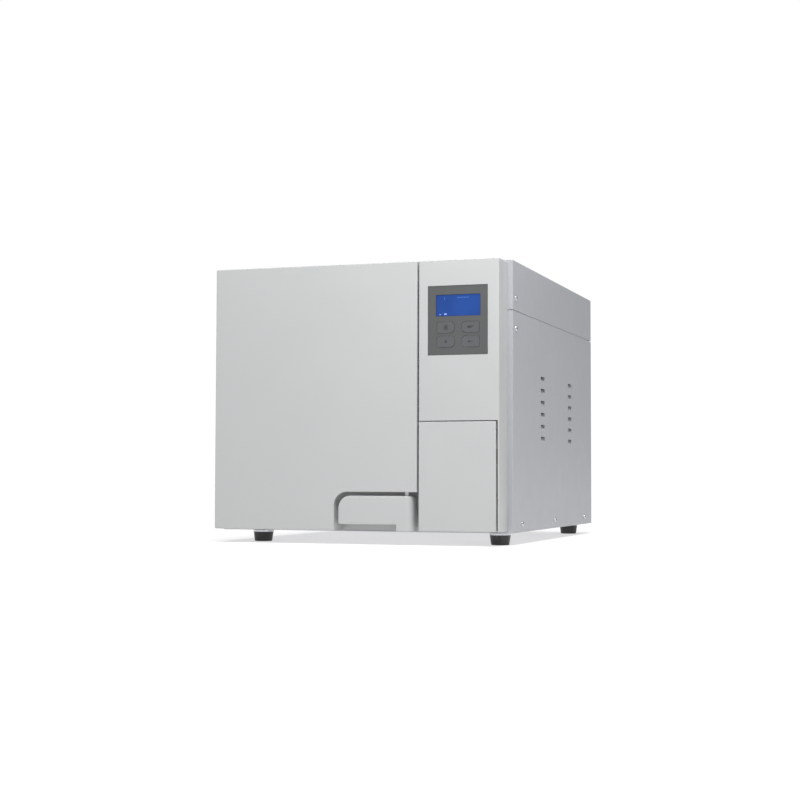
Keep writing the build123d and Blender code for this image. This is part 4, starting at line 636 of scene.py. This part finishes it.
UP_WAY = (0, 0, 1)
FRONT_WAY = (0, -1, 0)
BACK_WAY = (0, 1, 0)
REAR_SHEET = low("rear_panel", 1) + 21.2
SIDE_FACE = high("right_side_panel", 0)
TOP_FACE = high("top_cover", 2)
LINER_FACE = high("door_liner", 1)
FAN_X, _, FAN_Z = middle("fan_frame")
INLET_X, _, INLET_Z = middle("power_inlet")
INLET_FACE = high("power_inlet", 1) - 0.3
DISPLAY_FACE = low("lcd_module", 1)


# ------------------------------------------------------------------------------------------
# Second materials on single pieces
# ------------------------------------------------------------------------------------------
def paint(node, material, test):
    """Gives another material to the faces of a piece whose centre passes the test, in millimetres."""
    mesh = skins[node].data
    mesh.materials.append(material)
    index = len(mesh.materials) - 1
    for face in mesh.polygons:
        x, y, z = face.center / MM
        if test(x, y, z):
            face.material_index = index


BOARD_PARTS = high("main_board", 0) - 7.3
HEAT_SINK_Z = (235, 255)    # ranges along an axis are in the part's own coordinates
TERMINALS_Z = 335
paint("main_board", MATERIALS["black_plastic"], lambda x, y, z: x < BOARD_PARTS)
paint("main_board", MATERIALS["pump_aluminium"],
      lambda x, y, z: x < BOARD_PARTS and HEAT_SINK_Z[0] < z < HEAT_SINK_Z[1])
paint("main_board", MATERIALS["blue_knob"], lambda x, y, z: x < BOARD_PARTS and z > TERMINALS_Z)
paint("main_board", MATERIALS["brass_parts"], lambda x, y, z: x > BOARD_PARTS + 2)

KEY_SWITCHES = low("keypad_board", 1) + 1.7
PANE_BACK = DISPLAY_FACE + 0.2
paint("keypad_board", MATERIALS["black_plastic"], lambda x, y, z: y > KEY_SWITCHES)
paint("lcd_module", MATERIALS["black_plastic"], lambda x, y, z: y > PANE_BACK)

PINS_DEPTH = high("power_inlet", 1) - 4.5
PINS_REACH = (9, 6)
paint("power_inlet", MATERIALS["fastener_steel"],
      lambda x, y, z: y < PINS_DEPTH and abs(x - INLET_X) < PINS_REACH[0]
      and abs(z - INLET_Z) < PINS_REACH[1])

VALVE_BODIES = low("solenoid_valves", 2) + 146
VALVE_COILS = low("solenoid_valves", 2) + 172
paint("solenoid_valves", MATERIALS["black_plastic"], lambda x, y, z: z > VALVE_COILS)
paint("solenoid_valves", MATERIALS["brass_parts"], lambda x, y, z: VALVE_BODIES < z < VALVE_COILS)

TUBE_ENDS = (low("condenser", 0) + 2, high("condenser", 0) - 2)
TUBE_Y = middle("condenser")[1]
TUBE_RADIUS = 4.2
paint("condenser", MATERIALS["copper_pipe"],
      lambda x, y, z: abs(y - TUBE_Y) < TUBE_RADIUS and not TUBE_ENDS[0] <= x <= TUBE_ENDS[1])

PUMP_FOOT = low("vacuum_pump", 2) + 17
MOTOR_X = (-184, -86)
MOTOR_LOW = 46
WATER_PUMP_COIL = (96.5, 151.5)
paint("vacuum_pump", MATERIALS["black_plastic"], lambda x, y, z: z < PUMP_FOOT)
paint("vacuum_pump", MATERIALS["steel_parts"], lambda x, y, z: MOTOR_X[0] < x < MOTOR_X[1] and z > MOTOR_LOW)
paint("water_pump", MATERIALS["black_plastic"], lambda x, y, z: WATER_PUMP_COIL[0] < x < WATER_PUMP_COIL[1])

BOLT_X, BOLT_Y = 79, -230
LOCK_COIL_Z = (40.7, 70)
LOCK_COIL_RADIUS = 7.6
paint("lock_solenoid", MATERIALS["copper_pipe"],
      lambda x, y, z: LOCK_COIL_Z[0] < z < LOCK_COIL_Z[1]
      and math.hypot(x - BOLT_X, y - BOLT_Y) < LOCK_COIL_RADIUS)


# ------------------------------------------------------------------------------------------
# Screws
# ------------------------------------------------------------------------------------------
RIM = 0.35                  # this and the next ones are shares of a head's height or radius
DOME_RISE = 0.5
DOME_INSET = 0.35
CROWN = 0.97
DOME_STEPS = 6
RECESS_WIDTH = 0.26
RECESS_REACH = 1.15
RECESS_FLOOR = 0.42


def head_profile(radius, height):
    """A pan head from its seat round the rim to its crown."""
    rim = [(radius, height * RIM)]
    for i in range(1, DOME_STEPS):
        turn = math.pi / 2 * i / DOME_STEPS
        across = radius * (1 - DOME_INSET * (1 - math.cos(turn)))
        rim.append((across, height * (RIM + DOME_RISE * math.sin(turn))))
    return [(0, 0), (radius, 0)] + rim + [(radius * DOME_INSET, height * CROWN), (0, height)]


def screw_head(radius, height):
    """One pan head with a cross recess, standing on the origin and facing up Z, as a bare mesh."""
    seat = (0, 0, 0)
    recess = cross_outline(radius * RECESS_WIDTH, radius * RECESS_REACH)
    piece = made("head", lambda bm: turned(bm, head_profile(radius, height), seat, UP_WAY, 24),
                 MATERIALS["fastener_steel"], "case")
    cut(piece, lambda bm: prism(bm, recess, seat, UP_WAY, height * RECESS_FLOOR, height + 1))
    mesh = piece.data
    bpy.data.objects.remove(piece)
    return mesh


def screw_set(name, places, radius, body, height):
    """Copies of one head; places is a list of (seat in millimetres, outward direction)."""
    head = screw_head(radius, height)
    bm = bmesh.new()
    for at, axis in places:
        before = set(bm.verts)
        bm.from_mesh(head)
        turn = Matrix.Translation(Vector(at) * MM) @ facing(axis).to_4x4()
        bmesh.ops.transform(bm, matrix=turn, verts=[v for v in bm.verts if v not in before])
    return new_piece(name, bm, MATERIALS["fastener_steel"], body)


SIDES = (-1, 1)
# along the foot of each side, at its upper front corner, and along the back of the top
CASE_SCREWS = [((s * SIDE_FACE, y, 29), (s, 0, 0)) for s in SIDES for y in (-191, 16, 231)]
CASE_SCREWS += [((s * SIDE_FACE, -226, z), (s, 0, 0)) for s in SIDES for z in (306, 349)]
CASE_SCREWS += [((x, 262, TOP_FACE), UP_WAY) for x in (-180, 0, 180)]
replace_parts(screw_set("case_screw_heads", CASE_SCREWS, 3.6, "case", 2.15), "case_screws")


def facing_back(places, face):
    """Screw places on a sheet that faces the back, from their (x, z)."""
    return [((x, face, z), BACK_WAY) for x, z in places]


REAR_SCREWS = [(x, z) for x in (-196, 196) for z in (60, 150, 240, 330)]
REAR_SCREWS += [(x, 30) for x in (-120, -10, 95)]
FAN_SCREW = 52.5
FAN_SCREWS = [(FAN_X + i * FAN_SCREW, FAN_Z + j * FAN_SCREW) for i in SIDES for j in SIDES]
INLET_SCREW = 20
INLET_SCREWS = [(INLET_X + i * INLET_SCREW, INLET_Z) for i in SIDES]
LINER_SCREWS = [(-184, 36), (-184, 378), (-62, 388), (80, 378), (84, 130), (-60, 30)]
screw_set("rear_screws", facing_back(REAR_SCREWS, REAR_SHEET), 3.2, "case", 1.7)
screw_set("fan_screws", facing_back(FAN_SCREWS, REAR_SHEET), 3.4, "case", 1.7)
screw_set("inlet_screws", facing_back(INLET_SCREWS, INLET_FACE), 2.6, "case", 1.0)
screw_set("liner_screws", facing_back(LINER_SCREWS, LINER_FACE), 2.4, "door", 0.8)


# ------------------------------------------------------------------------------------------
# Keypad symbols and display marks
# ------------------------------------------------------------------------------------------
KEY_DROP = 0.18             # how far a cap's face is set back to leave room for its symbol
CAP_FACE = 0.02             # how near the front a point is to belong to the cap's face
SUNK = -0.1                 # how far a raised mark reaches into what it stands on


def key_symbol(node, outlines):
    """Raised dark marks on a key; the outlines are drawn about the middle of its cap."""
    x, _, z = middle(node)
    front = low(node, 1)
    for v in skins[node].data.vertices:
        if v.co.y < (front + CAP_FACE) * MM:
            v.co.y = (front + KEY_DROP) * MM

    def marks(bm):
        for outline in outlines:
            prism(bm, outline, (x, front + KEY_DROP, z), FRONT_WAY, SUNK, KEY_DROP)

    made(node + "_symbol", marks, INK, node)


def arc_band(radius, width, start, end, count=14):
    """Part of a ring, from one angle in degrees to another."""
    turns = [math.radians(start + (end - start) * i / count) for i in range(count + 1)]
    return ring_points(radius + width / 2, turns) + ring_points(radius - width / 2, turns[::-1])


key_symbol("key_select", [circle(1.5), arc_band(3.0, 0.7, 20, 340)])
key_symbol("key_start", [rounded(4.6, 3.0, 0.5, (-1.6, 0.2)), rectangle(1.1, 3.2, (2.2, 0.3)),
                         circle(0.7, 16, (4.1, 1.6))])
key_symbol("key_down", [[(-2.1, 0.6), (0, -2.1), (2.1, 0.6)], rectangle(1.1, 2.2, (0, 1.4))])
key_symbol("key_enter", [[(-3.9, 0), (-1.3, -1.9), (-1.3, 1.9)], rectangle(4.6, 0.9, (1.0, 0))])


PANE_BORDER = 5.2
PANE_X = (low("lcd_module", 0) + PANE_BORDER, high("lcd_module", 0) - PANE_BORDER)
PANE_LOW = low("lcd_module", 2) + 4.0
PANE_HIGH = low("lcd_module", 2) + 34.1
FILM = (-0.05, 0.06)        # from just behind the pane's face to just in front of it
LAMP = (-0.05, 0.08)
BLOCKS = 6
BLOCKS_START = 0.50         # shares of the pane's width
BLOCKS_STEP = 0.045
BAR_AT = 0.19


def display_marks(bm):
    """A row of plain blocks and a bar, like the segments of an idle display."""
    span = PANE_X[1] - PANE_X[0]
    for i in range(BLOCKS):
        block_x = PANE_X[0] + span * (BLOCKS_START + BLOCKS_STEP * i)
        prism(bm, rectangle(1.7, 1.1), (block_x, DISPLAY_FACE, PANE_HIGH - 4.2), FRONT_WAY, *FILM)
    bar_x = PANE_X[0] + span * BAR_AT
    prism(bm, rectangle(0.8, 3.0), (bar_x, DISPLAY_FACE, PANE_HIGH - 5.2), FRONT_WAY, *FILM)


def display_lamps(bm):
    """Two lit marks at the lower left of the display."""
    wide = (PANE_X[0] + 13.6, DISPLAY_FACE, PANE_LOW + 3.0)
    small = (PANE_X[0] + 6.0, DISPLAY_FACE, PANE_LOW + 2.6)
    prism(bm, rounded(3.6, 2.2, 0.7), wide, FRONT_WAY, *LAMP)
    prism(bm, rounded(1.6, 1.6, 0.5), small, FRONT_WAY, *LAMP)


made("display_marks", display_marks, LCD_MARK, "case")
made("display_lamps", display_lamps, LCD_LAMP, "case")


# ------------------------------------------------------------------------------------------
# Back and inner details
# ------------------------------------------------------------------------------------------
PLATE_AT = (120, REAR_SHEET, 150)
PLATE_TOP = 0.5             # how far the plate stands off the sheet
LINES_LEVEL = (PLATE_TOP - 0.15, PLATE_TOP + 0.05)
LINE_WIDTHS = (52, 44, 50, 30, 48, 22)
LINE_HEIGHT = 1.3
LINE_PITCH = 4.8
FIRST_LINE = 12             # height of the first line over the plate's middle


def rating_plate(bm):
    """A blank metal plate on the rear sheet."""
    prism(bm, rounded(64, 38, 2.5), PLATE_AT, BACK_WAY, -0.05, PLATE_TOP)


def plate_lines(bm):
    """Plain bars that stand for the plate's lines of print, level at one end."""
    for row, width in enumerate(LINE_WIDTHS):
        centre = ((LINE_WIDTHS[0] - width) / 2, FIRST_LINE - row * LINE_PITCH)
        prism(bm, rectangle(width, LINE_HEIGHT, centre), PLATE_AT, BACK_WAY, *LINES_LEVEL)


made("rating_plate", rating_plate, MATERIALS["pump_aluminium"], "case", 0.15)
made("rating_plate_lines", plate_lines, INK, "case")


STUD_AT = (-60, REAR_SHEET, 62)


def earth_stud(bm):
    """A washer, a hexagon nut and the end of the threaded stud."""
    turned(bm, [(0, 0), (4.4, 0), (4.4, 0.9), (0, 0.9)], STUD_AT, BACK_WAY)
    prism(bm, circle(3.7, 6), STUD_AT, BACK_WAY, 0.8, 3.6)
    turned(bm, [(0, 0), (2, 0), (2, 8.2), (1.6, 8.8), (0, 8.8)], STUD_AT, BACK_WAY)


made("earth_stud", earth_stud, MATERIALS["brass_parts"], "case", 0.2)


LIP = [(-0.45, 0), (-0.3, 0.3), (0, 0.42), (0.3, 0.3), (0.45, 0)]
LIP_RADII = (126.9, 128.6)
LIP_SEAT = 0.45             # how far the lips start below the gasket's face
BEAD = [(-4, 0), (-2.4, 0.9), (0, 1.25), (2.4, 0.9), (4, 0)]
BEAD_RADII = (46, 82)
BEAD_SEAT = 4.3             # how far the beads start below the plate's rearmost edge


def round_ridges(bm, node, section, radii, seat):
    """Raised rings about the middle of a node's box, starting below its back; returns their centre."""
    x, _, z = middle(node)
    at = (x, high(node, 1) - seat, z)
    for radius in radii:
        loop(bm, [(radius + across, height) for across, height in section], at, BACK_WAY)
    return at


def gasket_lips(bm):
    """Two raised sealing lips that run round the door gasket."""
    round_ridges(bm, "door_gasket", LIP, LIP_RADII, LIP_SEAT)


def stamped_rings(bm):
    """Shallow stiffening beads pressed into the pressure plate, and a hexagon boss at its middle."""
    at = round_ridges(bm, "door_pressure_plate", BEAD, BEAD_RADII, BEAD_SEAT)
    turned(bm, [(0, 0), (11, 0), (11, 1.6), (9.5, 2.4), (0, 2.4)], at, BACK_WAY, 6)


made("gasket_lips", gasket_lips, MATERIALS["silicone"], "door")
made("pressure_plate_beads", stamped_rings, MATERIALS["stainless"], "door")


DROP_WIDTH = 9
DROP_LENGTH = 11
DROP_POINTS = 40
DROP_FORWARD = 4            # how far the drop lies in front of the lid's middle
DROP_LEVEL = (-0.2, 0.5)
LID_FACE = high("tank_lid", 2) - 4.5


def lid_drop(bm):
    """A raised water drop on the tank lid, round at one end and pointed at the other."""
    x, y, _ = middle("tank_lid")
    points = []
    for i in range(DROP_POINTS):
        turn = 2 * math.pi * i / DROP_POINTS
        width = DROP_WIDTH * math.sin(turn) * math.sin(turn / 2) ** 1.5
        points.append((width, DROP_LENGTH * math.cos(turn)))
    prism(bm, points, (x, y - DROP_FORWARD, LID_FACE), UP_WAY, *DROP_LEVEL)


made("tank_lid_drop", lid_drop, MATERIALS["blue_knob"], "tank_lid", 0.15)
